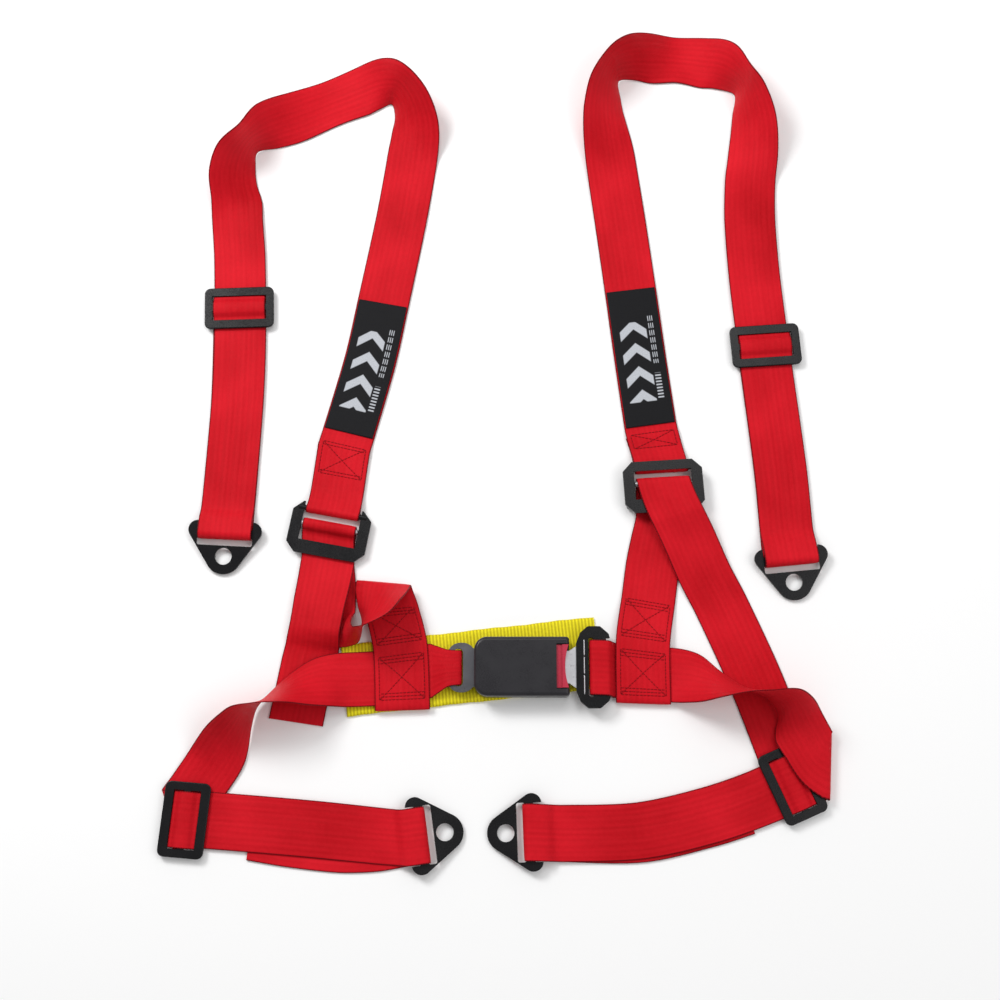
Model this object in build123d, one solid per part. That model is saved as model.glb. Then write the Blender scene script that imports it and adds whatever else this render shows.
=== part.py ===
"""Four-point racing harness laid out flat: webbing, slides, anchors, tilt adjusters and a push-button buckle.

Units are millimetres, +X to the wearer's left, +Y towards the shoulder loops and +Z up.
The origin is under the centre of the whole harness, on the surface that it lies on.
"""
import math
import os

from build123d import *

# Webbing and labels
WEBBING_WIDTH = 51.0
WEBBING_THICKNESS = 1.5
LABEL_WIDTH = 48.0
LABEL_THICKNESS = 0.8
LOOP_STEPS = (-90, -60, -30, 0, 30, 60, 90)

# Three-bar slides
SLIDE_LENGTH = 68.0
SLIDE_WIDTH = 42.0
SLIDE_THICKNESS = 3.0
SLIDE_CORNER = 6.0
SLIDE_END_BAR = 8.5
SLIDE_CENTRE_BAR = 6.0
SLIDE_BOTTOM = 3.7

# Anchor plates
ANCHOR_THICKNESS = 3.0
ANCHOR_HOLE_RADIUS = 8.0
ANCHOR_TIP_RADIUS = 17.0
ANCHOR_EAR_RADIUS = 9.0
ANCHOR_EAR_REACH = 25.9
ANCHOR_EAR_RISE = 2.5
ANCHOR_BAR = 7.6
ANCHOR_SLOT = 8.0
ANCHOR_HOLE_DROP = 22.0
ANCHOR_BAR_HEIGHT = 6.3
ANCHOR_LOOP_RADIUS = 5.4
ANCHOR_TILT = 7.0
SLOT_LENGTH = 53.0

# Tilt adjusters
ADJUSTER_LENGTH = 76.0
ADJUSTER_WIDTH = 50.0
ADJUSTER_THICKNESS = 2.5
ADJUSTER_CHAMFER = 9.0
ADJUSTER_CHEEK = 10.5
ADJUSTER_TOP_BAR = 9.0
ADJUSTER_BOTTOM_BAR = 13.0
ADJUSTER_PIN_RADIUS = 2.6
ADJUSTER_PIN_Y = 19.0
ADJUSTER_PIN_HEIGHT = 5.3
ADJUSTER_LOOP_RADIUS = 3.85
GRIP_BAR_Y = 4.0
GRIP_BAR_RADIUS = 3.0
GRIP_HEIGHTS = {"left": 6.2, "right": 8.7}
ADJUSTER_HEIGHTS = {"left": 4.0, "right": 10.4}

# Buckle, with its own X along the lap belt towards the tongue
BUCKLE_LENGTH = 88.0
BUCKLE_WIDTH = 55.0
BUCKLE_WALL = 2.0
BUCKLE_BOTTOM = 2.8
CASE_SPLIT = 10.8
CASE_TOP = 22.8
CASE_GAP = 0.2
CASE_LEFT_RADIUS = 12.0
CASE_RIGHT_RADIUS = 3.0
BUTTON_WIDTH = 40.8
BUTTON_DEPTH = 15.0
NOTCH_WIDTH = 41.6
NOTCH_DEPTH = 12.0
FRAME_PLATE_BOTTOM = 8.0
FRAME_PLATE_TOP = 10.5
FRAME_PLATE_WIDTH = 36.0
RING_WIDTH = 46.0
TONGUE_BOTTOM = 10.9
TONGUE_TOP = 12.9
TONGUE_WIDTH = 30.0
TONGUE_TIP_X = 4.0
LATCH_PIN_RADIUS = 1.5
LATCH_PIN_X = -22.0
LATCH_PIN_HEIGHT = 17.0
LATCH_WIDTH = 18.0
LATCH_END_X = 19.0
WINDOW_X = 15.0
BUTTON_TRAVEL = 5.0
SCREW_RADIUS = 1.5
SCREW_HEAD_RADIUS = 2.7
SCREW_HEAD_HEIGHT = 1.2
LUG_BOTTOM = 14.2
SPRING_STOP_X = 20.0
GRIP_WIDTH = 76.0
GRIP_BOTTOM = 9.4
GRIP_TOP = 14.4

# From the point that the layout is measured from to the middle of its overall box
LAYOUT_SHIFT = (-1.44, -2.99)

# Where the hardware lies: x, y and the turn of each piece's own X axis, in degrees
BUCKLE_PLACE = (22.0, -229.0, 0.0)
PAD_PLACE = (-25.0, -227.0, 6.4)
PAD_LENGTH = 239.0
PAD_WIDTH = 68.0
PAD_THICKNESS = 2.4
SLIDE_PLACES = {
    "left_rear": (-255.0, 126.0, 2.0),
    "right_rear": (262.0, 87.0, 4.0),
    "left_lap": (-286.0, -367.5, 85.0),
    "right_lap": (270.0, -335.0, 113.5),
}
ANCHOR_PLACES = {
    "left_rear": (-259.5, -101.0, -3.0),
    "right_rear": (277.7, -126.0, 5.5),
    "left_lap": (-70.0, -381.5, 98.0),
    "right_lap": (29.0, -378.5, -88.0),
}
ADJUSTER_PLACES = {
    "left": (-161.0, -99.0, -10.5),
    "right": (158.0, -56.0, 3.5),
}


def start_loop(x, y, z, turn, radius, width=WEBBING_WIDTH):
    """Stations of webbing that sets out from its loop around a bar, from the lower layer up."""
    ahead = (-math.sin(math.radians(turn)), math.cos(math.radians(turn)))
    stations = []
    for step in LOOP_STEPS:
        reach = -radius * math.cos(math.radians(step))
        rise = radius * math.sin(math.radians(step))
        stations.append((x + ahead[0] * reach, y + ahead[1] * reach, z + rise, turn, 0, width))
    return stations


def end_loop(x, y, z, turn, radius, width=WEBBING_WIDTH):
    """Stations of webbing that arrives over a bar and goes back under it."""
    backwards = start_loop(x, y, z, turn + 180, radius, width)
    return [(sx, sy, sz, turn, roll, w) for sx, sy, sz, _, roll, w in reversed(backwards)]


def adjuster_point(side, along, across=0.0):
    """A point in the frame of a tilt adjuster, along its width and across it, as x and y."""
    x, y, turn = ADJUSTER_PLACES[side]
    c, s = math.cos(math.radians(turn)), math.sin(math.radians(turn))
    return x + across * c - along * s, y + across * s + along * c


LEFT_REAR_PIN = adjuster_point("left", ADJUSTER_PIN_Y)
RIGHT_REAR_PIN = adjuster_point("right", ADJUSTER_PIN_Y)

# Each station of a strap is x, y, z of its middle, the turn of its width from +X, its roll about
# its own length, both in degrees, and its width where that isn't the webbing's own.
LEFT_REAR_STRAP = [
    (-149, -15, 0.9, -13, 0),
    (-154.5, -60, 0.9, -10, 0),
    *start_loop(*LEFT_REAR_PIN, ADJUSTER_PIN_HEIGHT, -10.5, ADJUSTER_LOOP_RADIUS),
    (-155.5, -70, 5.6, -10.5, 0),
    (-154, -58, 2.6, -10, 0),
    (-148.5, -16, 2.6, -13, 0),
    (-145.5, -4, 0.9, -14, 0),
    (-125, 74, 0.9, -14, 0),
    (-113.5, 133, 0.9, -10.5, 0),
    (-97, 221, 0.9, -10, 0),
    (-87, 286, 1.5, -6, 0),
    (-84, 316, 9, 5, 18),
    (-89, 340, 18.5, 28, 44),
    (-101, 358, 22.8, 54, 59),
    (-119, 363, 14.5, 84, 32),
    (-141, 359, 4.5, 104, 8),
    (-171, 348, 1, 114, 0),
    (-203, 331, 7.5, 116, 15),
    (-231, 314, 19, 124, 46),
    (-249, 298, 25.6, 147, 75),
    (-261, 281, 20.4, 165, 50),
    (-265, 261, 13.7, 174, 30),
    (-262, 240, 5.3, 178, 10),
    (-261, 221, 2.5, 181, 0),
    (-257, 179, 2.5, 182, 0),
    (-253.5, 95, 2.5, 181, 0),
    (-253.5, 33, 2.5, 179, 0),
    (-257, -47, 2.5, 177.5, 0),
    (-258.5, -76, 3.2, 177, 0),
    (-259, -87, 8.6, 177, 0),
    *end_loop(-259.5, -101, ANCHOR_BAR_HEIGHT, 177, ANCHOR_LOOP_RADIUS),
    (-259, -86, 0.9, 177, 0),
    (-257, -47, 0.9, 177.5, 0),
    (-254, 33, 0.9, 179, 0),
    (-255, 106, 0.9, 181, 0),
]

RIGHT_REAR_STRAP = [
    (149, -3, 0.9, 8, 0),
    (154, -21, 0.9, 5, 0),
    *start_loop(*RIGHT_REAR_PIN, ADJUSTER_PIN_HEIGHT, 3.5, ADJUSTER_LOOP_RADIUS),
    (155, -26, 5.6, 4, 0),
    (153, -17, 2.6, 6, 0),
    (149.5, -3, 2.6, 8, 0),
    (148, 6, 0.9, 8, 0),
    (139.5, 74, 0.9, 6.5, 0),
    (131, 147, 0.9, 7, 0),
    (122, 221, 0.9, 7.5, 0),
    (113.5, 286, 3, 6, -5),
    (107.5, 331, 14.5, 0, -32),
    (109, 357, 20.5, -12, -50),
    (117, 379, 25, -40, -70),
    (134, 388, 21, -62, -52),
    (155, 394, 10.5, -80, -22),
    (182, 397, 1.5, -90, 0),
    (208, 391, 7, -103, -14),
    (229, 380, 20, -118, -48),
    (246, 362, 25.9, -137, -77),
    (252, 343, 22, -152, -55),
    (257, 318, 15, -167, -33),
    (257, 290, 7.5, -175, -14),
    (254, 262, 2.5, -180, 0),
    (252, 221, 2.5, -179, 0),
    (254.5, 157, 2.5, -176, 0),
    (263.5, 53, 2.5, -175, 0),
    (272, -40, 2.5, -174.5, 0),
    (275, -98, 3.2, -174.5, 0),
    (276.3, -112, 8.6, -174.5, 0),
    *end_loop(277.7, -126, ANCHOR_BAR_HEIGHT, -174.5, ANCHOR_LOOP_RADIUS),
    (276, -111, 0.9, -174.5, 0),
    (272, -40, 0.9, -174.5, 0),
    (262, 68, 0.9, -175, 0),
]

RIGHT_LAP_STRAP = [
    (117, -231.8, 1.0, -92, 0),
    (108, -230.6, 1.1, -91, 0),
    (104.4, -230.2, 5.0, -91, 0),
    (101, -229.9, 8.2, -90, 0),
    (88.4, -229.3, 8.2, -90, 0),
    (86.4, -229.3, 9.4, -90, 0),
    (85.6, -229.3, 11.9, -90, 0),
    (86.4, -229.3, 14.4, -90, 0),
    (88.4, -229.3, 15.6, -90, 0),
    (102, -229.9, 15.6, -90, 0),
    (105.2, -230.3, 11, -91, 0),
    (107, -230.5, 6.6, -91, 0),
    (108.4, -230.7, 4.8, -91, 0),
    (112.5, -231.4, 4.7, -92, 0),
    (136, -234, 4.7, -93, 0),
    (162, -235.5, 4.9, -94, 0),
    (184, -239, 13.5, -97, 22),
    (204, -245.5, 25, -99, 55),
    (226, -250.5, 28.2, -98, 78),
    (250, -255, 28.4, -104, 92),
    (265, -262, 27, -120, 115),
    (271, -272, 19.5, -136, 142),
    (276, -283, 13, -143, 168),
    (284, -297, 11.4, -141, 180),
    (292.5, -311, 10.8, -124, 180, 54),
    (301.5, -317.5, 10.1, -100, 180, 62),
    (304.2, -318, 9, -95, 180, 63),
    (305.2, -318.3, 6.3, -94, 180, 64),
    (304.2, -318.8, 3.6, -93, 180, 63),
    (301.5, -319.5, 2.5, -90, 180, 60),
    (290, -325.5, 2.5, -74, 180, 53),
    (240, -347.5, 2.5, -68, 180),
    (194, -363, 2.5, -74, 180),
    (130, -377, 2.5, -81, 180),
    (60, -379.5, 2.5, -88, 180),
    (52, -379.3, 3.4, -88, 180),
    (43.5, -379, 9.3, -88, 180),
]
RIGHT_LAP_STRAP += end_loop(29, -378.5, ANCHOR_BAR_HEIGHT, 92, ANCHOR_LOOP_RADIUS)
RIGHT_LAP_STRAP += [
    (44, -379, 0.9, 92, 0),
    (60, -379.5, 0.9, 92, 0),
    (130, -380, 0.9, 99, 0),
    (194, -366, 0.9, 106, 0),
    (226, -356, 0.9, 110, 0),
]

LEFT_LAP_STRAP = [
    (-60.5, -231, 3.6, 92, 0, 48),
    (-54.5, -230.5, 5.2, 92, 0, 41),
    (-48.5, -230, 6.9, 91, 0, 35),
    (-43, -229.5, 6.9, 90, 0, 33),
    (-35.6, -229.2, 7.2, 90, 0, 32),
    (-34.3, -229.1, 9.3, 90, 0, 32),
    (-35.6, -229.2, 11.5, 90, 0, 32),
    (-43, -229.5, 11.9, 90, 0, 33),
    (-47.5, -229.8, 11.8, 91, 0, 35),
    (-52.5, -230.3, 9.8, 92, 0, 40),
    (-61.5, -231.3, 5.2, 92, 0, 50),
    (-64, -231.8, 5.0, 92.5, 0),
    (-92, -237, 5.0, 94, 0),
    (-118, -239, 5.0, 93, 0),
    (-140, -240, 6.6, 92, -2),
    (-156, -241, 12.2, 93, -14),
    (-172, -243.5, 17.6, 95, -29),
    (-191, -250, 25.2, 102, -54),
    (-209, -258, 27.6, 110, -74),
    (-224, -266, 28.2, 119, -90),
    (-234, -276, 26, 126, -112),
    (-242, -289, 20, 131, -134),
    (-252, -303, 11.2, 138, -158),
    (-264, -320, 3.0, 142, -176),
    (-281, -345, 0.9, 140, -180),
    (-293, -362, 0.9, 125, -180, 54),
    (-298, -367, 0.95, 112, -180, 56),
    (-299.2, -367.6, 1.7, 103, -180, 56),
    (-298, -367.4, 2.45, 95, -180, 56),
    (-286, -366.4, 2.5, 86, -180),
    (-230, -370.5, 2.5, 85, -180),
    (-171, -375.5, 2.5, 86, -180),
    (-105, -382, 2.5, 94, -180),
    (-93, -383, 3.4, 97, -180),
    (-84.5, -383.5, 9.3, 98, -180),
]
LEFT_LAP_STRAP += end_loop(-70, -381.5, ANCHOR_BAR_HEIGHT, -82, ANCHOR_LOOP_RADIUS)
LEFT_LAP_STRAP += [
    (-84, -383.5, 0.9, -84, 0),
    (-110, -388, 0.9, -88, 0),
    (-143, -389, 0.9, -92, 0),
    (-190, -384, 0.9, -95, 0),
    (-226, -378, 0.9, -96, 0),
]

LEFT_FRONT_STRAP = [
    (-161.6, -127, 0.9, 171, 0),
    (-159.5, -150, 0.9, 174, 0),
    (-159.5, -171, 1.8, 182, -2),
    (-155.5, -187, 5, 203, -10, 48),
    (-147, -193.5, 10.6, 226, -26, 42),
    (-138, -198.5, 22.8, 252, -60, 44),
    (-131.5, -200, 25.8, 285, -80, 46),
    (-123.5, -190, 27.6, 318, -104, 50),
    (-116, -178, 26.5, 340, -130),
    (-111.5, -164, 20.5, 350, -152),
    (-109, -155.5, 15.2, 353, -170),
    (-108, -151.5, 12.6, 354, -178),
    (-107.3, -149.5, 10, 355, -180),
    (-106.8, -151, 7.6, 356, -180),
    (-105.5, -156, 6.7, 359, -180),
    (-100.5, -172, 6.7, 365, -180),
    (-91.5, -208, 6.7, 368, -180),
    (-88.5, -263, 6.7, 362, -180),
    (-88.5, -266.6, 6.0, 362, -180),
    (-88.5, -267.7, 5.0, 362, -180),
    (-88.5, -266.6, 4.0, 362, -180),
    (-88.5, -263, 3.3, 362, -180),
    (-90.5, -214, 3.3, 364, -180),
]

LEFT_TAIL = [
    (-161.6, -127, 2.6, 171, 0),
    (-164, -145, 5.5, 171, -5),
    (-168, -170, 10.5, 170.5, -12),
    (-170, -184, 11.6, 170, -14),
    (-171.6, -194, 11.6, 170, -14),
    (-172.8, -202, 7.6, 170, -8),
    (-174.2, -210, 2.0, 170, -1),
    (-177, -222, 0.9, 170, 0),
    (-187.5, -279, 0.9, 171.5, 0),
]

RIGHT_FRONT_STRAP = [
    (156.5, -88.5, 1.2, -3, 0),
    (147.5, -128, 0.9, -9, 0),
    (142, -164, 1.6, -10, 0),
    (135.7, -204, 6.5, -8, 0),
    (135, -257.6, 6.5, -2, 0),
    (135, -260.4, 5.9, -2, 0),
    (135, -261.5, 4.7, -2, 0),
    (135, -260.4, 3.5, -2, 0),
    (135, -257.6, 2.9, -2, 0),
    (135, -212, 2.9, -2, 0),
]

RIGHT_TAIL = [
    (170.5, -85, 14.5, 18, 0),
    (181, -106, 9, 21, 0),
    (196, -140, 3, 22, 0),
    (210, -168, 0.9, 23, 0),
    (239, -236, 0.9, 23, 0),
    (262, -300, 0.9, 20, 0),
    (269, -322, 0.9, 20, 0),
]

LEFT_LABEL = [
    (-144.8, -1, 2.15, -14, 0, LABEL_WIDTH),
    (-125, 74, 2.15, -14, 0, LABEL_WIDTH),
    (-113.7, 132, 2.15, -10.5, 0, LABEL_WIDTH),
]
RIGHT_LABEL = [
    (147.9, 7, 2.15, 8, 0, LABEL_WIDTH),
    (139.5, 74, 2.15, 6.5, 0, LABEL_WIDTH),
    (131.1, 146, 2.15, 7, 0, LABEL_WIDTH),
]


# Corner pairs of a ribbon's four sides, so that its two broad sides share their diagonals
RIBBON_SIDES = ((0, 1), (3, 2), (0, 3), (1, 2))


def ribbon(stations, thickness=WEBBING_THICKNESS):
    """A closed strip of webbing: four corners at each station, joined by flat triangles.

    Each broad side is split along its shorter diagonal, so that a twist stays smooth.
    """
    middles = [Vector(*station[:3]) for station in stations]
    rings = []
    for index, station in enumerate(stations):
        turn, roll = math.radians(station[3]), math.radians(station[4])
        half = (station[5] if len(station) > 5 else WEBBING_WIDTH) / 2
        across = Vector(math.cos(turn) * math.cos(roll), math.sin(turn) * math.cos(roll), math.sin(roll))
        before = middles[max(index - 1, 0)]
        after = middles[min(index + 1, len(middles) - 1)]
        up = across.cross(after - before).normalized() * (thickness / 2)
        side = across * half
        middle = middles[index]
        rings.append([middle + side + up, middle - side + up, middle - side - up, middle + side - up])
    faces = [Face(Wire.make_polygon(rings[0])), Face(Wire.make_polygon(rings[-1]))]
    for near, far in zip(rings, rings[1:]):
        longer = (far[1] - near[0]).length > (far[0] - near[1]).length
        for first, second in RIBBON_SIDES:
            if longer:
                first, second = second, first
            faces.append(Face(Wire.make_polygon([near[first], near[second], far[second]])))
            faces.append(Face(Wire.make_polygon([near[first], far[second], far[first]])))
    return Solid(Shell(faces))


def rounded_plate(length, width, thickness, corner, edge=0.0):
    """A flat plate with rounded corners, its bottom at z 0, with softened edges."""
    plate = extrude(RectangleRounded(length, width, corner), thickness)
    if edge:
        plate = fillet(plate.edges().group_by(Axis.Z)[0] + plate.edges().group_by(Axis.Z)[-1], edge)
    return plate


def slide():
    """A three-bar slide, its middle at the origin and its bottom at z 0."""
    window_width = (SLIDE_WIDTH - 2 * SLIDE_END_BAR - SLIDE_CENTRE_BAR) / 2
    window_y = (SLIDE_CENTRE_BAR + window_width) / 2
    plate = rounded_plate(SLIDE_LENGTH, SLIDE_WIDTH, SLIDE_THICKNESS, SLIDE_CORNER, 0.9)
    for side in (-1, 1):
        plate -= Pos(0, side * window_y, 0) * extrude(Rectangle(SLOT_LENGTH, window_width), SLIDE_THICKNESS)
    return plate


SLIDE_BIGHT = [
    (0, -12.2, 0.75, 0, 0),
    (0, -9, 1.1, 0, 0),
    (0, -5, 3.6, 0, 0),
    (0, -1.5, 4.3, 0, 0),
    (0, 1.5, 4.3, 0, 0),
    (0, 5, 3.6, 0, 0),
    (0, 9, 1.1, 0, 0),
    (0, 12.2, 0.75, 0, 0),
]


def anchor_plate():
    """A slotted anchor plate with its bolt hole, its loop bar along X through the origin."""
    ears = [Pos(side * ANCHOR_EAR_REACH, ANCHOR_EAR_RISE) * Circle(ANCHOR_EAR_RADIUS) for side in (-1, 1)]
    tip = Pos(0, -ANCHOR_HOLE_DROP) * Circle(ANCHOR_TIP_RADIUS)
    outline = make_hull((Sketch() + ears + tip).edges())
    half_bar = ANCHOR_BAR / 2
    recess_depth = ANCHOR_EAR_RISE + ANCHOR_EAR_RADIUS
    outline -= Pos(0, half_bar + recess_depth / 2) * Rectangle(SLOT_LENGTH, recess_depth)
    outline -= Pos(0, -half_bar - ANCHOR_SLOT / 2) * RectangleRounded(SLOT_LENGTH, ANCHOR_SLOT, 2)
    outline -= Pos(0, -ANCHOR_HOLE_DROP) * Circle(ANCHOR_HOLE_RADIUS)
    plate = extrude(outline, ANCHOR_THICKNESS / 2, both=True)
    return Pos(0, 0, ANCHOR_BAR_HEIGHT) * Rot(ANCHOR_TILT, 0, 0) * plate


def adjuster_outline():
    """The outline of a tilt adjuster's pressed frame, open at its pin end."""
    outline = Rectangle(ADJUSTER_LENGTH, ADJUSTER_WIDTH)
    outline = chamfer(outline.vertices(), ADJUSTER_CHAMFER)
    opening = ADJUSTER_WIDTH - ADJUSTER_TOP_BAR - ADJUSTER_BOTTOM_BAR
    opening_y = (ADJUSTER_BOTTOM_BAR - ADJUSTER_TOP_BAR) / 2
    outline -= Pos(0, opening_y) * Rectangle(ADJUSTER_LENGTH - 2 * ADJUSTER_CHEEK, opening)
    return outline


def adjuster_frame(bottom, covers_loop):
    """A tilt adjuster frame. The plate's bar covers the pin's webbing loop, or is left open there."""
    inner = ADJUSTER_LENGTH - 2 * ADJUSTER_CHEEK
    frame = Pos(0, 0, bottom) * extrude(adjuster_outline(), ADJUSTER_THICKNESS)
    pin_length = ADJUSTER_LENGTH - ADJUSTER_CHEEK
    lowest = ADJUSTER_PIN_HEIGHT - ADJUSTER_PIN_RADIUS
    if not covers_loop:
        reach = ADJUSTER_WIDTH / 2 - ADJUSTER_PIN_Y + ADJUSTER_TOP_BAR
        cut_y = ADJUSTER_WIDTH / 2 - ADJUSTER_TOP_BAR / 2
        frame -= Pos(0, cut_y, bottom) * Box(inner, reach, 4 * ADJUSTER_THICKNESS)
    for side in (-1, 1):
        cheek_x = side * (ADJUSTER_LENGTH - ADJUSTER_CHEEK) / 2
        height = bottom + ADJUSTER_THICKNESS - lowest
        cheek = extrude(RectangleRounded(ADJUSTER_CHEEK - 4, 38, 2), height)
        frame += Pos(cheek_x, 0, lowest) * cheek
    pin = Rot(0, 90, 0) * Cylinder(ADJUSTER_PIN_RADIUS, pin_length)
    return frame + Pos(0, ADJUSTER_PIN_Y, ADJUSTER_PIN_HEIGHT) * pin


def grip_bar():
    """The knurled bar that the front webbing turns around, with a flat key at each end."""
    length = ADJUSTER_LENGTH - 2 * ADJUSTER_CHEEK - 0.6
    return Rot(0, 90, 0) * Cylinder(GRIP_BAR_RADIUS, length)


def placed(part, place, height=0.0):
    x, y, turn = place
    return Pos(x, y, height) * Rot(0, 0, turn) * part


def case_outline(inset=0.0):
    """The buckle case from above, rounder at the lap belt's end."""
    length, width = BUCKLE_LENGTH - 2 * inset, BUCKLE_WIDTH - 2 * inset
    outline = Rectangle(length, width)
    corners = outline.vertices().sort_by(Axis.X)
    outline = fillet(corners[:2], CASE_LEFT_RADIUS - inset)
    corners = outline.vertices().sort_by(Axis.X)[-2:]
    return fillet(corners, max(CASE_RIGHT_RADIUS - inset, 0.8))


SCREW_PLACES = [(x, y) for x in (-30, 18) for y in (-22, 22)]


def buckle_lower_case():
    shell = Pos(0, 0, BUCKLE_BOTTOM) * extrude(case_outline(), CASE_SPLIT - BUCKLE_BOTTOM)
    shell = fillet(shell.faces().sort_by(Axis.Z)[0].edges(), 1.5)
    inner_height = CASE_SPLIT - BUCKLE_BOTTOM - BUCKLE_WALL
    shell -= Pos(0, 0, BUCKLE_BOTTOM + BUCKLE_WALL) * extrude(case_outline(BUCKLE_WALL), inner_height)
    half = BUCKLE_LENGTH / 2
    shell -= Pos(-half, 0, CASE_SPLIT) * Box(16, FRAME_PLATE_WIDTH + 1, 2 * (CASE_SPLIT - 7.7))
    shell -= Pos(half, 0, CASE_SPLIT) * Box(8, TONGUE_WIDTH + 3, 2.4)
    for x in (-16, 8):
        rib = Pos(x, 0, (BUCKLE_BOTTOM + FRAME_PLATE_BOTTOM) / 2)
        shell += rib * Box(2.5, FRAME_PLATE_WIDTH, FRAME_PLATE_BOTTOM - BUCKLE_BOTTOM)
    for x, y in SCREW_PLACES:
        shell -= Pos(x, y, BUCKLE_BOTTOM) * Cylinder(SCREW_RADIUS + 0.15, 3 * BUCKLE_WALL)
        shell -= Pos(x, y, BUCKLE_BOTTOM) * Cylinder(SCREW_HEAD_RADIUS + 0.2, 2 * SCREW_HEAD_HEIGHT + 0.4)
    return shell


def buckle_upper_case():
    bottom = CASE_SPLIT + CASE_GAP
    shell = Pos(0, 0, bottom) * extrude(case_outline(), CASE_TOP - bottom)
    shell = fillet(shell.faces().sort_by(Axis.Z)[-1].edges(), 3.5)
    shell -= Pos(0, 0, bottom) * extrude(case_outline(BUCKLE_WALL), CASE_TOP - BUCKLE_WALL - bottom)
    half = BUCKLE_LENGTH / 2
    notch = Box(NOTCH_DEPTH + 2, NOTCH_WIDTH, 2 * (CASE_TOP - bottom) + 1)
    shell -= Pos(half - NOTCH_DEPTH / 2 + 1, 0, CASE_TOP) * notch
    for x, y in SCREW_PLACES:
        boss_bottom = 6.0
        boss = Pos(x, y, boss_bottom) * extrude(Circle(2.8), CASE_TOP - 1 - boss_bottom)
        hole = Pos(x, y, boss_bottom) * extrude(Circle(SCREW_RADIUS), 9)
        shell = shell + boss - hole
    lug_height = CASE_TOP - 1 - LUG_BOTTOM
    for y in (-11.5, 11.5):
        lug = Pos(LATCH_PIN_X, y, LUG_BOTTOM) * extrude(Rectangle(6, 3), lug_height)
        hole = Pos(LATCH_PIN_X, y, LATCH_PIN_HEIGHT) * Rot(90, 0, 0) * Cylinder(LATCH_PIN_RADIUS, 10)
        shell = shell + lug - hole
    for y in (-15, 15):
        shell += Pos(SPRING_STOP_X, y, LUG_BOTTOM) * extrude(Rectangle(2, 8), lug_height)
    return shell


def case_screws():
    screws = []
    for x, y in SCREW_PLACES:
        shank = Pos(x, y, BUCKLE_BOTTOM + 1.3) * extrude(Circle(SCREW_RADIUS), 10)
        head = Pos(x, y, BUCKLE_BOTTOM + 0.1) * extrude(Circle(SCREW_HEAD_RADIUS), SCREW_HEAD_HEIGHT)
        screws.append(shank + head)
    return screws


def buckle_frame():
    """The steel frame: a plate in the case and the ring that the lap belt goes through."""
    half = BUCKLE_LENGTH / 2
    plate = Pos(-4, 0) * Rectangle(2 * half - 22, FRAME_PLATE_WIDTH)
    neck = Pos(-half - 2, 0) * Rectangle(22, FRAME_PLATE_WIDTH)
    ring = Pos(-half - 12, 0) * RectangleRounded(26, RING_WIDTH, 12)
    opening = Pos(-half - 15, 0) * RectangleRounded(9, 35, 4)
    outline = plate + neck + ring - opening
    outline -= Pos(-40, 0) * Rectangle(4, 10)
    outline -= Pos(WINDOW_X + 2.5, 0) * Rectangle(11, 20)
    frame = Pos(0, 0, FRAME_PLATE_BOTTOM) * extrude(outline, FRAME_PLATE_TOP - FRAME_PLATE_BOTTOM)
    rails = [
        Pos(2, side * (FRAME_PLATE_WIDTH / 2 - 0.75), FRAME_PLATE_TOP + 1.2) * Box(60, 1.5, 2.4)
        for side in (-1, 1)
    ]
    return frame + rails


def latch_pin():
    return Pos(LATCH_PIN_X, 0, LATCH_PIN_HEIGHT) * Rot(90, 0, 0) * Cylinder(LATCH_PIN_RADIUS, 25.5)


def latch_plate():
    """The sprung latch over the tongue: a plate on its pin with a tooth above the window."""
    plate_bottom = 15.6
    middle = (LATCH_PIN_X + LATCH_END_X) / 2
    length = LATCH_END_X - LATCH_PIN_X
    plate = Pos(middle, 0, plate_bottom + 0.75) * Box(length, LATCH_WIDTH, 1.5)
    barrel = Pos(LATCH_PIN_X, 0, LATCH_PIN_HEIGHT) * Rot(90, 0, 0) * Cylinder(3.0, LATCH_WIDTH)
    tooth = Pos(WINDOW_X, 0, 14.5) * Box(5, 13, 2.5)
    bore = Pos(LATCH_PIN_X, 0, LATCH_PIN_HEIGHT) * Rot(90, 0, 0) * Cylinder(LATCH_PIN_RADIUS + 0.06, 40)
    return plate + barrel + tooth - bore


def coil(radius, wire, height, turns):
    """A round-wire compression spring along +Z from the origin."""
    path = Helix(pitch=height / turns, height=height, radius=radius)
    section = Plane(origin=path @ 0, z_dir=path % 0) * Circle(wire / 2)
    return sweep(section, path=path)


def latch_spring():
    return Pos(6, 0, 17.6) * coil(2.6, 0.7, 2.7, 3)


def ejector():
    body = Pos(-6.5, 0, TONGUE_BOTTOM + 1.0) * Box(19, 14, 2.0)
    foot = Pos(-14, 0, TONGUE_BOTTOM + 2.0) * Box(4, 14, 3.0)
    return body + foot


def ejector_spring():
    return Pos(-38, 0, 12.2) * Rot(0, 90, 0) * coil(1.3, 0.6, 21.4, 9)


def button_springs():
    return [Pos(21.7, y, 17.5) * Rot(0, 90, 0) * coil(2.2, 0.7, 6.1, 4) for y in (-15, 15)]


def press_button():
    """The release button, scooped where a thumb pushes it, with its top in the case's notch."""
    right = BUCKLE_LENGTH / 2 - 0.6
    body = Pos(right - BUTTON_DEPTH / 2, 0, 17.5) * Box(BUTTON_DEPTH, BUTTON_WIDTH - 1.0, 6.0)
    top_depth = NOTCH_DEPTH - BUTTON_TRAVEL - 1.0
    body += Pos(right - top_depth / 2, 0, 21.8) * Box(top_depth, BUTTON_WIDTH - 1.0, 2.6)
    scoop = Pos(right + 56.5, 0, 17) * Cylinder(60, 30)
    return body - scoop


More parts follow.
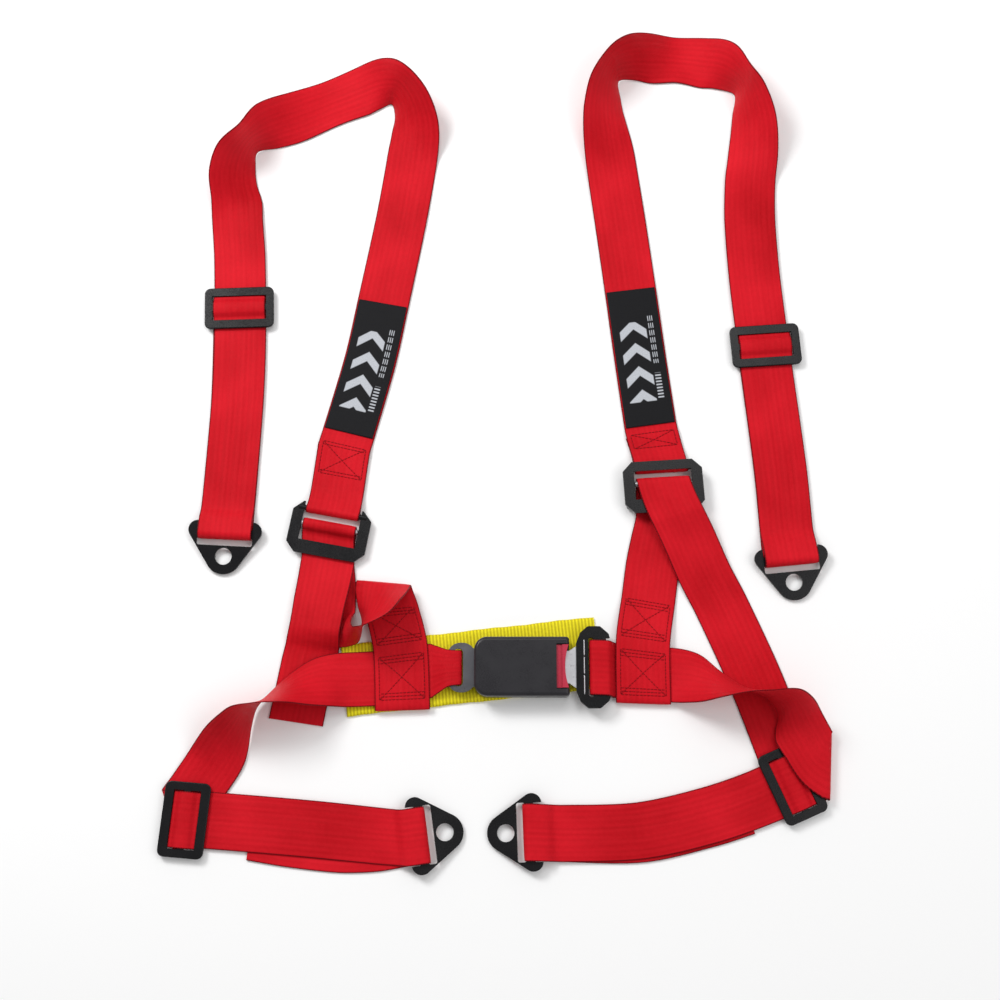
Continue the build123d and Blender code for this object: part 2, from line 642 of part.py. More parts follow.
def tongue_plate():
    half = BUCKLE_LENGTH / 2
    blade = Pos((TONGUE_TIP_X + half + 2) / 2, 0) * Rectangle(half + 2 - TONGUE_TIP_X, TONGUE_WIDTH)
    blade = chamfer(blade.vertices().sort_by(Axis.X)[:2], 3)
    flare = make_face(Polyline((half, -15), (half + 9, -21), (half + 14, -21), (half + 14, 21),
                               (half + 9, 21), (half, 15), close=True))
    outline = blade + flare - Pos(WINDOW_X, 0) * RectangleRounded(7, 15, 1.5)
    return Pos(0, 0, TONGUE_BOTTOM) * extrude(outline, TONGUE_TOP - TONGUE_BOTTOM)


def tongue_grip():
    """The moulded D-shaped frame around the tongue, with the slot for the lap belt."""
    half = BUCKLE_LENGTH / 2
    left, right = half + 6.5, half + 38
    edge = GRIP_WIDTH / 2
    upper = [(right, 27), (right - 1, 31), (right - 9, edge), (left + 11, edge), (left + 4, 32), (left, 22)]
    lower = [(x, -y) for x, y in reversed(upper)]
    face = fillet(make_face(Polyline(*lower, *upper, close=True)).vertices(), 3)
    face -= Pos(left + 14, 0) * RectangleRounded(5.0, SLOT_LENGTH + 2, 2.4)
    face -= Pos(right, 0) * Rectangle(7, SLOT_LENGTH + 1)
    grip = Pos(0, 0, GRIP_BOTTOM) * extrude(face, GRIP_TOP - GRIP_BOTTOM)
    return grip - tongue_plate()


def pad():
    return rounded_plate(PAD_LENGTH, PAD_WIDTH, PAD_THICKNESS, 5)


# The front webbing's turn around each grip bar, as stations in its adjuster's own frame.
ADJUSTER_WEBBING = {
    "left": [
        (4, -24, 2.6, 0, 0),
        (1, -10, 2.6, 0, 0),
        (0, -5, 2.9, 0, 0),
        (0, -1.5, 5.0, 0, 0),
        (0, -0.6, 7.6, 0, 0),
        (0, 1.2, 9.7, 0, 0),
        (0, 4, 10.5, 0, 0),
        (0, 6.8, 9.7, 0, 0),
        (0, 8.3, 7.6, 0, 0),
        (0, 8.4, 5.0, 0, 0),
        (0, 7, 2.6, 0, 0),
        (0, 4, 1.3, 0, 0),
        (0, 0, 0.9, 0, 0),
        (4, -24, 0.9, 0, 0),
    ],
    "right": [
        (-2, -26, 1.2, -4, 0),
        (-1, -8, 1.8, -2, 0),
        (0, 3, 3.2, 0, 0),
        (0, 8, 5.8, 0, 0),
        (0, 8.8, 9.4, 0, 0),
        (0, 7.4, 12.3, 0, 0),
        (0.5, 4, 13.7, 1, 0),
        (2, -3, 14.1, 4, 0),
        (5, -14, 14.3, 9, 0),
        (9, -25.5, 14.6, 14, 0),
    ],
}


nodes = {
    "left_rear_strap": ribbon(LEFT_REAR_STRAP),
    "right_rear_strap": ribbon(RIGHT_REAR_STRAP),
    "left_lap_strap": ribbon(LEFT_LAP_STRAP),
    "right_lap_strap": ribbon(RIGHT_LAP_STRAP),
    "left_front_strap": ribbon(LEFT_FRONT_STRAP),
    "right_front_strap": ribbon(RIGHT_FRONT_STRAP),
    "left_tail": ribbon(LEFT_TAIL),
    "right_tail": ribbon(RIGHT_TAIL),
    "left_label": ribbon(LEFT_LABEL, LABEL_THICKNESS),
    "right_label": ribbon(RIGHT_LABEL, LABEL_THICKNESS),
    "buckle_pad": placed(pad(), PAD_PLACE),
}
for name, place in SLIDE_PLACES.items():
    nodes[name + "_slide"] = placed(slide(), place, SLIDE_BOTTOM)
    nodes[name + "_bight"] = placed(ribbon(SLIDE_BIGHT), place, SLIDE_BOTTOM)
for name, place in ANCHOR_PLACES.items():
    nodes[name + "_anchor"] = placed(anchor_plate(), place)
for side, place in ADJUSTER_PLACES.items():
    frame = adjuster_frame(ADJUSTER_HEIGHTS[side], covers_loop=side == "right")
    nodes[side + "_adjuster_frame"] = placed(frame, place)
    nodes[side + "_grip_bar"] = placed(Pos(0, GRIP_BAR_Y, GRIP_HEIGHTS[side]) * grip_bar(), place)
    nodes[side + "_adjuster_bight"] = placed(ribbon(ADJUSTER_WEBBING[side]), place)
BUCKLE_PIECES = (
    buckle_lower_case,
    buckle_upper_case,
    case_screws,
    buckle_frame,
    latch_pin,
    latch_plate,
    latch_spring,
    ejector,
    ejector_spring,
    button_springs,
    press_button,
    tongue_plate,
    tongue_grip,
)
for make in BUCKLE_PIECES:
    piece = make()
    if isinstance(piece, list):
        piece = Compound(children=piece)
    nodes[make.__name__] = placed(piece, BUCKLE_PLACE)

os.makedirs("parts", exist_ok=True)
for name, part in nodes.items():
    export_step(Pos(*LAYOUT_SHIFT) * part, "parts/" + name + ".step")
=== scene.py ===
"""Looks of the racing harness: webbing, sewing, labels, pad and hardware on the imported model's bodies."""

import math
from bisect import bisect_right

import bmesh
import bpy
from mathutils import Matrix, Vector


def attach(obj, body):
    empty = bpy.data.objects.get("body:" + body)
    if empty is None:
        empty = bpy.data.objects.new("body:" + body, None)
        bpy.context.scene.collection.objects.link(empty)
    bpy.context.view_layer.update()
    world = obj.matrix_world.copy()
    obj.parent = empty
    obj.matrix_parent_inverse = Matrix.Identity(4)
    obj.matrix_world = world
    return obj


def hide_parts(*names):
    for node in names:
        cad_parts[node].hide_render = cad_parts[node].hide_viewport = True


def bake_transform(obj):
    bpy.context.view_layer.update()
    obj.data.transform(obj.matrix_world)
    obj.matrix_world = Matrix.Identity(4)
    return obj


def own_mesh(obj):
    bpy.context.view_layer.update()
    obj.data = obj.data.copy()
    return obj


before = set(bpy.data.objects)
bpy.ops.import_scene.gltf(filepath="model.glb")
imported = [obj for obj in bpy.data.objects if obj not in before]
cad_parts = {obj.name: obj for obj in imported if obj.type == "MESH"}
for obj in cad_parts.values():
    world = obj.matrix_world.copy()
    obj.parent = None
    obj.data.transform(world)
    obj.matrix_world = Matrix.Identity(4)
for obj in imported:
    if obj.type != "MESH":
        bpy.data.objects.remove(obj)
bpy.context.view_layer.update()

# Lengths are millimetres and angles degrees, unless a comment says otherwise. The layout is the harness as
# it lies, and LAYOUT_SHIFT moves it so that the frame's origin is under the middle of the overall box.
MM = 0.001
LAYOUT_SHIFT = (-1.44, -2.99)
WEBBING_WIDTH = 51.0
WEBBING_THICKNESS = 1.5
REAR_RIPPLE = 0.25
LAP_RIPPLE = 0.2
LABEL_WIDTH = 48.0
LABEL_THICKNESS = 0.8
LOOP_STEPS = (-90, -60, -30, 0, 30, 60, 90)
SLIDE_BOTTOM = 3.7
ANCHOR_BAR_HEIGHT = 6.3
ANCHOR_LOOP_RADIUS = 5.4
ADJUSTER_PIN_Y = 19.0
ADJUSTER_PIN_HEIGHT = 5.3
ADJUSTER_LOOP_RADIUS = 3.85
GRIP_BAR_Y = 4.0
GRIP_BAR_RADIUS = 3.0
GRIP_BAR_LENGTH = 54.4
GRIP_HEIGHTS = {"left": 6.2, "right": 8.7}
BUCKLE_PLACE = (22.0, -229.0)
PAD_PLACE = (-25.0, -227.0, 6.4)
PAD_LENGTH = 239.0
PAD_WIDTH = 68.0
PAD_THICKNESS = 2.4
# the x, y and turn of each piece of hardware in the layout
SLIDE_PLACES = {
    "left_rear": (-255.0, 126.0, 2.0),
    "right_rear": (262.0, 87.0, 4.0),
    "left_lap": (-286.0, -367.5, 85.0),
    "right_lap": (270.0, -335.0, 113.5),
}
ADJUSTER_PLACES = {
    "left": (-161.0, -99.0, -10.5),
    "right": (158.0, -56.0, 3.5),
}

CAMERA_LENS = 54.0
CAMERA_SENSOR = 36.0
CAMERA_TARGET = (1.87, -67.02, 0.0)
CAMERA_SPOT = (1.87, -390.94, 1403.1)
# each light's place and size in metres and its power in watts
LIGHTS = {
    "key": ((-1.1, 1.0, 1.5), 0.7, 26),
    "fill": ((1.3, -0.4, 1.7), 1.2, 9),
    "top": ((0.2, 1.2, 2.4), 1.4, 15),
}
WORLD_STRENGTH = 0.42
# the floor's side, and how far it lies under the harness, in metres
FLOOR_SIZE = 14.0
FLOOR_DROP = 0.0004


# ---------------------------------------------------------------- where the webbing runs

def turned(x, y, spot):
    """A point of a piece's own frame as x and y in the layout; spot is the piece's x, y and turn there."""
    x0, y0, turn = spot
    c, s = math.cos(math.radians(turn)), math.sin(math.radians(turn))
    return x0 + x * c - y * s, y0 + x * s + y * c


def start_loop(x, y, z, turn, radius):
    """Stations of webbing that sets out from its loop around a bar, from the lower layer up."""
    ahead = (-math.sin(math.radians(turn)), math.cos(math.radians(turn)))
    stations = []
    for step in LOOP_STEPS:
        reach = -radius * math.cos(math.radians(step))
        rise = radius * math.sin(math.radians(step))
        stations.append((x + ahead[0] * reach, y + ahead[1] * reach, z + rise, turn, 0))
    return stations


def end_loop(x, y, z, turn, radius):
    """Stations of webbing that arrives over a bar and goes back under it."""
    backwards = start_loop(x, y, z, turn + 180, radius)
    return [(sx, sy, sz, turn, roll) for sx, sy, sz, _, roll in reversed(backwards)]


LEFT_REAR_PIN = turned(0, ADJUSTER_PIN_Y, ADJUSTER_PLACES["left"])
RIGHT_REAR_PIN = turned(0, ADJUSTER_PIN_Y, ADJUSTER_PLACES["right"])

# A station is the x, y and height of the webbing's middle, the direction of its width about +Z, and how far
# that width is rolled up out of the level. A sixth number is the width, where it isn't WEBBING_WIDTH.
LEFT_REAR_STRAP = [
    (-149, -15, 0.9, -13, 0),
    (-154.5, -60, 0.9, -10, 0),
    *start_loop(*LEFT_REAR_PIN, ADJUSTER_PIN_HEIGHT, -10.5, ADJUSTER_LOOP_RADIUS),
    (-155.5, -70, 5.6, -10.5, 0),
    (-154, -58, 2.6, -10, 0),
    (-148.5, -16, 2.6, -13, 0),
    (-145.5, -4, 0.9, -14, 0),
    (-125, 74, 0.9, -14, 0),
    (-113.5, 133, 0.9, -10.5, 0),
    (-97, 221, 0.9, -10, 0),
    (-87, 286, 1.5, -6, 0),
    (-84, 316, 9, 5, 18),
    (-89, 340, 18.5, 28, 44),
    (-101, 358, 22.8, 54, 59),
    (-119, 363, 14.5, 84, 32),
    (-141, 359, 4.5, 104, 8),
    (-171, 348, 1, 114, 0),
    (-203, 331, 7.5, 116, 15),
    (-231, 314, 19, 124, 46),
    (-249, 298, 25.6, 147, 75),
    (-261, 281, 20.4, 165, 50),
    (-265, 261, 13.7, 174, 30),
    (-262, 240, 5.3, 178, 10),
    (-261, 221, 2.5, 181, 0),
    (-257, 179, 2.5, 182, 0),
    (-253.5, 95, 2.5, 181, 0),
    (-253.5, 33, 2.5, 179, 0),
    (-257, -47, 2.5, 177.5, 0),
    (-258.5, -76, 3.2, 177, 0),
    (-259, -87, 8.6, 177, 0),
    *end_loop(-259.5, -101, ANCHOR_BAR_HEIGHT, 177, ANCHOR_LOOP_RADIUS),
    (-259, -86, 0.9, 177, 0),
    (-257, -47, 0.9, 177.5, 0),
    (-254, 33, 0.9, 179, 0),
    (-255, 106, 0.9, 181, 0),
]

RIGHT_REAR_STRAP = [
    (149, -3, 0.9, 8, 0),
    (154, -21, 0.9, 5, 0),
    *start_loop(*RIGHT_REAR_PIN, ADJUSTER_PIN_HEIGHT, 3.5, ADJUSTER_LOOP_RADIUS),
    (155, -26, 5.6, 4, 0),
    (153, -17, 2.6, 6, 0),
    (149.5, -3, 2.6, 8, 0),
    (148, 6, 0.9, 8, 0),
    (139.5, 74, 0.9, 6.5, 0),
    (131, 147, 0.9, 7, 0),
    (122, 221, 0.9, 7.5, 0),
    (113.5, 286, 3, 6, -5),
    (107.5, 331, 14.5, 0, -32),
    (109, 357, 20.5, -12, -50),
    (117, 379, 25, -40, -70),
    (134, 388, 21, -62, -52),
    (155, 394, 10.5, -80, -22),
    (182, 397, 1.5, -90, 0),
    (208, 391, 7, -103, -14),
    (229, 380, 20, -118, -48),
    (246, 362, 25.9, -137, -77),
    (252, 343, 22, -152, -55),
    (257, 318, 15, -167, -33),
    (257, 290, 7.5, -175, -14),
    (254, 262, 2.5, -180, 0),
    (252, 221, 2.5, -179, 0),
    (254.5, 157, 2.5, -176, 0),
    (263.5, 53, 2.5, -175, 0),
    (272, -40, 2.5, -174.5, 0),
    (275, -98, 3.2, -174.5, 0),
    (276.3, -112, 8.6, -174.5, 0),
    *end_loop(277.7, -126, ANCHOR_BAR_HEIGHT, -174.5, ANCHOR_LOOP_RADIUS),
    (276, -111, 0.9, -174.5, 0),
    (272, -40, 0.9, -174.5, 0),
    (262, 68, 0.9, -175, 0),
]

RIGHT_LAP_STRAP = [
    (117, -231.8, 1.0, -92, 0),
    (108, -230.6, 1.1, -91, 0),
    (104.4, -230.2, 5.0, -91, 0),
    (101, -229.9, 8.2, -90, 0),
    (88.4, -229.3, 8.2, -90, 0),
    (86.4, -229.3, 9.4, -90, 0),
    (85.6, -229.3, 11.9, -90, 0),
    (86.4, -229.3, 14.4, -90, 0),
    (88.4, -229.3, 15.6, -90, 0),
    (102, -229.9, 15.6, -90, 0),
    (105.2, -230.3, 11, -91, 0),
    (107, -230.5, 6.6, -91, 0),
    (108.4, -230.7, 4.8, -91, 0),
    (112.5, -231.4, 4.7, -92, 0),
    (136, -234, 4.7, -93, 0),
    (162, -235.5, 4.9, -94, 0),
    (184, -239, 13.5, -97, 22),
    (204, -245.5, 25, -99, 55),
    (226, -250.5, 28.2, -98, 78),
    (250, -255, 28.4, -104, 92),
    (265, -262, 27, -120, 115),
    (271, -272, 19.5, -136, 142),
    (276, -283, 13, -143, 168),
    (284, -297, 11.4, -141, 180),
    (292.5, -311, 10.8, -124, 180, 54),
    (301.5, -317.5, 10.1, -100, 180, 62),
    (304.2, -318, 9, -95, 180, 63),
    (305.2, -318.3, 6.3, -94, 180, 64),
    (304.2, -318.8, 3.6, -93, 180, 63),
    (301.5, -319.5, 2.5, -90, 180, 60),
    (290, -325.5, 2.5, -74, 180, 53),
    (240, -347.5, 2.5, -68, 180),
    (194, -363, 2.5, -74, 180),
    (130, -377, 2.5, -81, 180),
    (60, -379.5, 2.5, -88, 180),
    (52, -379.3, 3.4, -88, 180),
    (43.5, -379, 9.3, -88, 180),
]
RIGHT_LAP_STRAP += end_loop(29, -378.5, ANCHOR_BAR_HEIGHT, 92, ANCHOR_LOOP_RADIUS)
RIGHT_LAP_STRAP += [
    (44, -379, 0.9, 92, 0),
    (60, -379.5, 0.9, 92, 0),
    (130, -380, 0.9, 99, 0),
    (194, -366, 0.9, 106, 0),
    (226, -356, 0.9, 110, 0),
]

LEFT_LAP_STRAP = [
    (-60.5, -231, 3.6, 92, 0, 48),
    (-54.5, -230.5, 5.2, 92, 0, 41),
    (-48.5, -230, 6.9, 91, 0, 35),
    (-43, -229.5, 6.9, 90, 0, 33),
    (-35.6, -229.2, 7.2, 90, 0, 32),
    (-34.3, -229.1, 9.3, 90, 0, 32),
    (-35.6, -229.2, 11.5, 90, 0, 32),
    (-43, -229.5, 11.9, 90, 0, 33),
    (-47.5, -229.8, 11.8, 91, 0, 35),
    (-52.5, -230.3, 9.8, 92, 0, 40),
    (-61.5, -231.3, 5.2, 92, 0, 50),
    (-64, -231.8, 5.0, 92.5, 0),
    (-92, -237, 5.0, 94, 0),
    (-118, -239, 5.0, 93, 0),
    (-140, -240, 6.6, 92, -2),
    (-156, -241, 12.2, 93, -14),
    (-172, -243.5, 17.6, 95, -29),
    (-191, -250, 25.2, 102, -54),
    (-209, -258, 27.6, 110, -74),
    (-224, -266, 28.2, 119, -90),
    (-234, -276, 26, 126, -112),
    (-242, -289, 20, 131, -134),
    (-252, -303, 11.2, 138, -158),
    (-264, -320, 3.0, 142, -176),
    (-281, -345, 0.9, 140, -180),
    (-293, -362, 0.9, 125, -180, 54),
    (-298, -367, 0.95, 112, -180, 56),
    (-299.2, -367.6, 1.7, 103, -180, 56),
    (-298, -367.4, 2.45, 95, -180, 56),
    (-286, -366.4, 2.5, 86, -180),
    (-230, -370.5, 2.5, 85, -180),
    (-171, -375.5, 2.5, 86, -180),
    (-105, -382, 2.5, 94, -180),
    (-93, -383, 3.4, 97, -180),
    (-84.5, -383.5, 9.3, 98, -180),
]
LEFT_LAP_STRAP += end_loop(-70, -381.5, ANCHOR_BAR_HEIGHT, -82, ANCHOR_LOOP_RADIUS)
LEFT_LAP_STRAP += [
    (-84, -383.5, 0.9, -84, 0),
    (-110, -388, 0.9, -88, 0),
    (-143, -389, 0.9, -92, 0),
    (-190, -384, 0.9, -95, 0),
    (-226, -378, 0.9, -96, 0),
]

LEFT_FRONT_STRAP = [
    (-161.6, -127, 0.9, 171, 0),
    (-159.5, -150, 0.9, 174, 0),
    (-159.5, -171, 1.8, 182, -2),
    (-155.5, -187, 5, 203, -10, 48),
    (-147, -193.5, 10.6, 226, -26, 42),
    (-138, -198.5, 22.8, 252, -60, 44),
    (-131.5, -200, 25.8, 285, -80, 46),
    (-123.5, -190, 27.6, 318, -104, 50),
    (-116, -178, 26.5, 340, -130),
    (-111.5, -164, 20.5, 350, -152),
    (-109, -155.5, 15.2, 353, -170),
    (-108, -151.5, 12.6, 354, -178),
    (-107.3, -149.5, 10, 355, -180),
    (-106.8, -151, 7.6, 356, -180),
    (-105.5, -156, 6.7, 359, -180),
    (-100.5, -172, 6.7, 365, -180),
    (-91.5, -208, 6.7, 368, -180),
    (-88.5, -263, 6.7, 362, -180),
    (-88.5, -266.6, 6.0, 362, -180),
    (-88.5, -267.7, 5.0, 362, -180),
    (-88.5, -266.6, 4.0, 362, -180),
    (-88.5, -263, 3.3, 362, -180),
    (-90.5, -214, 3.3, 364, -180),
]

LEFT_TAIL = [
    (-161.6, -127, 2.6, 171, 0),
    (-164, -145, 5.5, 171, -5),
    (-168, -170, 10.5, 170.5, -12),
    (-170, -184, 11.6, 170, -14),
    (-171.6, -194, 11.6, 170, -14),
    (-172.8, -202, 7.6, 170, -8),
    (-174.2, -210, 2.0, 170, -1),
    (-177, -222, 0.9, 170, 0),
    (-187.5, -279, 0.9, 171.5, 0),
]

RIGHT_FRONT_STRAP = [
    (156.5, -88.5, 1.2, -3, 0),
    (147.5, -128, 0.9, -9, 0),
    (142, -164, 1.6, -10, 0),
    (135.7, -204, 6.5, -8, 0),
    (135, -257.6, 6.5, -2, 0),
    (135, -260.4, 5.9, -2, 0),
    (135, -261.5, 4.7, -2, 0),
    (135, -260.4, 3.5, -2, 0),
    (135, -257.6, 2.9, -2, 0),
    (135, -212, 2.9, -2, 0),
]

RIGHT_TAIL = [
    (170.5, -85, 14.5, 18, 0),
    (181, -106, 9, 21, 0),
    (196, -140, 3, 22, 0),
    (210, -168, 0.9, 23, 0),
    (239, -236, 0.9, 23, 0),
    (262, -300, 0.9, 20, 0),
    (269, -322, 0.9, 20, 0),
]

LEFT_LABEL = [
    (-144.8, -1, 2.15, -14, 0, LABEL_WIDTH),
    (-125, 74, 2.15, -14, 0, LABEL_WIDTH),
    (-113.7, 132, 2.15, -10.5, 0, LABEL_WIDTH),
]
RIGHT_LABEL = [
    (147.9, 7, 2.15, 8, 0, LABEL_WIDTH),
    (139.5, 74, 2.15, 6.5, 0, LABEL_WIDTH),
    (131.1, 146, 2.15, 7, 0, LABEL_WIDTH),
]

SLIDE_BIGHT = [
    (0, -12.2, 0.75, 0, 0),
    (0, -9, 1.1, 0, 0),
    (0, -5, 3.6, 0, 0),
    (0, -1.5, 4.3, 0, 0),
    (0, 1.5, 4.3, 0, 0),
    (0, 5, 3.6, 0, 0),
    (0, 9, 1.1, 0, 0),
    (0, 12.2, 0.75, 0, 0),
]

ADJUSTER_WEBBING = {
    "left": [
        (4, -24, 2.6, 0, 0),
        (1, -10, 2.6, 0, 0),
        (0, -5, 2.9, 0, 0),
        (0, -1.5, 5.0, 0, 0),
        (0, -0.6, 7.6, 0, 0),
        (0, 1.2, 9.7, 0, 0),
        (0, 4, 10.5, 0, 0),
        (0, 6.8, 9.7, 0, 0),
        (0, 8.3, 7.6, 0, 0),
        (0, 8.4, 5.0, 0, 0),
        (0, 7, 2.6, 0, 0),
        (0, 4, 1.3, 0, 0),
        (0, 0, 0.9, 0, 0),
        (4, -24, 0.9, 0, 0),
    ],
    "right": [
        (-2, -26, 1.2, -4, 0),
        (-1, -8, 1.8, -2, 0),
        (0, 3, 3.2, 0, 0),
        (0, 8, 5.8, 0, 0),
        (0, 8.8, 9.4, 0, 0),
        (0, 7.4, 12.3, 0, 0),
        (0.5, 4, 13.7, 1, 0),
        (2, -3, 14.1, 4, 0),
        (5, -14, 14.3, 9, 0),
        (9, -25.5, 14.6, 14, 0),
    ],
}

# ---------------------------------------------------------------- webbing

RUN_STEP = 2.5
BIGHT_STEP = 1.0
COLUMNS = 15
EDGE_THINNING = 0.5
STITCH_PITCH = 3.4
STITCH_LENGTH = 2.6
STITCH_LIFT = 0.1
STITCH_CROWN = 0.28
THREAD_RADIUS = 0.36
SEWN_BOX_HALF = 21.0
SEWN_ROW_GAP = 3.0


def place(x, y, z=0.0):
    """A point of the layout, in millimetres, as a point of the frame."""
    return Vector((x + LAYOUT_SHIFT[0], y + LAYOUT_SHIFT[1], z)) * MM


def in_place(stations, spot, height=0.0, flip=False):
    """Stations given in a piece of hardware's own frame, as stations of the layout."""
    turn0 = spot[2] + (180 if flip else 0)
    return [(*turned(x, y, spot), z + height, turn + turn0, roll) for x, y, z, turn, roll in stations]


def catmull(a, b, c, d, t):
    """The point at t of the way from b to c on a smooth curve through a, b, c and d."""
    return (b * 2 + (c - a) * t + (a * 2 - b * 5 + c * 4 - d) * t * t
            + (b * 3 - a - c * 3 + d) * t ** 3) * 0.5


class Run:
    """A strip of webbing as dense samples: centre, across and up vectors, half width and length so far."""

    def __init__(self, stations, width, step):
        keys = []
        for x, y, z, turn, roll, *rest in stations:
            turn, roll = math.radians(turn), math.radians(roll)
            across = Vector((math.cos(turn) * math.cos(roll), math.sin(turn) * math.cos(roll),
                             math.sin(roll)))
            keys.append((Vector((x, y, z)), across, (rest[0] if rest else width) / 2))
        centres, acrosses, halves = [], [], []
        for i in range(len(keys) - 1):
            four = [keys[max(0, min(len(keys) - 1, i + k))] for k in (-1, 0, 1, 2)]
            gap = (four[2][0] - four[1][0]).length
            eased = [key[0].copy() for key in four]
            # shorten the outer points' reach, so that a short span beside a long one doesn't overshoot
            for outer, inner in ((0, 1), (3, 2)):
                reach = eased[outer] - eased[inner]
                if reach.length > gap:
                    eased[outer] = eased[inner] + reach * (gap / reach.length)
            count = max(2, math.ceil(gap / step))
            for k in range(count):
                t = k / count
                centres.append(catmull(*eased, t))
                acrosses.append(catmull(*[key[1] for key in four], t).normalized())
                halves.append(four[1][2] + (four[2][2] - four[1][2]) * t)
        centres.append(keys[-1][0])
        acrosses.append(keys[-1][1])
        halves.append(keys[-1][2])
        self.centres, self.acrosses, self.halves = centres, acrosses, halves
        self.ups = []
        for i, across in enumerate(acrosses):
            ahead = centres[min(i + 1, len(centres) - 1)] - centres[max(i - 1, 0)]
            self.ups.append(across.cross(ahead).normalized())
        self.lengths = [0.0]
        for a, b in zip(centres, centres[1:]):
            self.lengths.append(self.lengths[-1] + (b - a).length)
        self.length = self.lengths[-1]

    def at(self, along, u, lift=0.0):
        """The point and up vector at a length along the strip, u from -1 to 1 across it, in the layout."""
        along = max(0.0, min(self.length, along))
        i = min(bisect_right(self.lengths, along) - 1, len(self.lengths) - 2)
        t = (along - self.lengths[i]) / max(1e-9, self.lengths[i + 1] - self.lengths[i])
        centre = self.centres[i].lerp(self.centres[i + 1], t)
        across = self.acrosses[i].lerp(self.acrosses[i + 1], t)
        up = self.ups[i].lerp(self.ups[i + 1], t).normalized()
        half = self.halves[i] + (self.halves[i + 1] - self.halves[i]) * t
        return centre + across * half * u + up * lift, up

    def nearest(self, point):
        """The length along the strip of its centre's nearest sample to a point of the layout."""
        x, y, z = point
        best = min(range(len(self.centres)), key=lambda i: (self.centres[i].x - x) ** 2
                   + (self.centres[i].y - y) ** 2 + (self.centres[i].z - z) ** 2)
        return self.lengths[best]


def tube_faces(rings, around, first=0):
    """The faces of a closed tube of rings of points, with both ends capped."""
    faces = []
    for i in range(rings - 1):
        here, there = first + i * around, first + (i + 1) * around
        for k in range(around):
            d = (k + 1) % around
            faces.append((here + k, here + d, there + d, there + k))
    faces.append(tuple(first + k for k in range(around)))
    faces.append(tuple(first + rings * around - 1 - k for k in range(around)))
    return faces


def mesh_piece(name, verts, faces, material, uvs=None):
    """A smooth piece with its faces turned outwards; uvs has a pair in metres for each point."""
    mesh = bpy.data.meshes.new(name)
    mesh.from_pydata(verts, [], faces)
    if uvs:
        layer = mesh.uv_layers.new(name="strip")
        for loop in mesh.loops:
            layer.data[loop.index].uv = uvs[loop.vertex_index]
    for poly in mesh.polygons:
        poly.use_smooth = True
    mesh.materials.append(material)
    mesh.validate()
    bm = bmesh.new()
    bm.from_mesh(mesh)
    bmesh.ops.recalc_face_normals(bm, faces=bm.faces)
    bm.to_mesh(mesh)
    bm.free()
    obj = bpy.data.objects.new(name, mesh)
    bpy.context.collection.objects.link(obj)
    return obj


def strip_piece(name, run, thickness, material, ripple):
    """A strip of webbing with thinner selvedges, and its UVs in metres across and along it."""
    verts, uvs = [], []
    columns = [math.sin(math.pi / 2 * (2 * c / (COLUMNS - 1) - 1)) for c in range(COLUMNS)]
    for centre, across, up, half, along in zip(run.centres, run.acrosses, run.ups, run.halves, run.lengths):
        # a slow, uneven wave that grows towards the edges
        swell = ripple * math.sin(along * 0.017 + 1.3)
        for side, row in ((1, columns), (-1, columns[::-1])):
            for u in row:
                thin = 1 - EDGE_THINNING * abs(u) ** 12
                wave = swell * math.sin(along * 0.045 + u * 1.7) * u * u
                verts.append(place(*(centre + across * half * u + up * (side * thickness / 2 * thin + wave))))
                uvs.append((u * WEBBING_WIDTH / 2 * MM, along * MM))
    faces = tube_faces(len(run.centres), 2 * COLUMNS)
    return mesh_piece(name, verts, faces, material, uvs)


def sewing(name, run, lines, side):
    """Stitches along lines of points, each its distance across and length along, on one side of a strip."""
    verts, faces = [], []
    lift = side * (WEBBING_THICKNESS / 2 + STITCH_LIFT)
    for line in lines:
        for (u0, s0), (u1, s1) in zip(line, line[1:]):
            span = math.hypot(u1 - u0, s1 - s0)
            for k in range(max(1, int(span / STITCH_PITCH))):
                t0 = (k * STITCH_PITCH + (STITCH_PITCH - STITCH_LENGTH) / 2) / span
                t1 = t0 + STITCH_LENGTH / span
                points = []
                for t, crown in ((t0, 0.0), ((t0 + t1) / 2, STITCH_CROWN), (t1, 0.0)):
                    u, s = u0 + (u1 - u0) * t, s0 + (s1 - s0) * t
                    points.append(run.at(s, u / (WEBBING_WIDTH / 2), lift + side * crown))
                ahead = (points[2][0] - points[0][0]).normalized()
                faces += tube_faces(3, 4, len(verts))
                for point, up in points:
                    sideways = ahead.cross(up).normalized() * THREAD_RADIUS
                    outwards = up * side * THREAD_RADIUS
                    for corner in (-sideways, outwards * 0.8, sideways, outwards * -0.4):
                        verts.append(place(*(point + corner)))
    return mesh_piece(name, verts, faces, THREAD)


def box_cross(start, end, rows):
    """The lines of a sewn box with a cross in it and repeated end rows, from one length to another."""
    half = SEWN_BOX_HALF
    lines = [[(-half, start), (half, start), (half, end), (-half, end), (-half, start)],
             [(-half, start), (half, end)], [(half, start), (-half, end)]]
    for row in range(1, rows):
        inset = row * SEWN_ROW_GAP * (1 if end > start else -1)
        lines.append([(-half, start + inset), (half, start + inset)])
        lines.append([(-half, end - inset), (half, end - inset)])
    return lines


# ---------------------------------------------------------------- materials

# the weave's own sizes, in metres
WEAVE_RIB = 0.0052
WEAVE_ROW = 0.0013
WEAVE_YARN = 0.0009
SELVEDGE_INNER = 0.0243
SELVEDGE_OUTER = 0.0249
SELVEDGE_DOT = 0.0022
# the label's design, in metres: the chevrons' pitch, and the fine lines', dashes' and ticks'
CHEVRON_PITCH = 0.024
FINE_LINE_PITCH = 0.0021
DASH_PITCH = 0.0075
TICK_PITCH = 0.0032
LABEL_THREAD = 0.0008
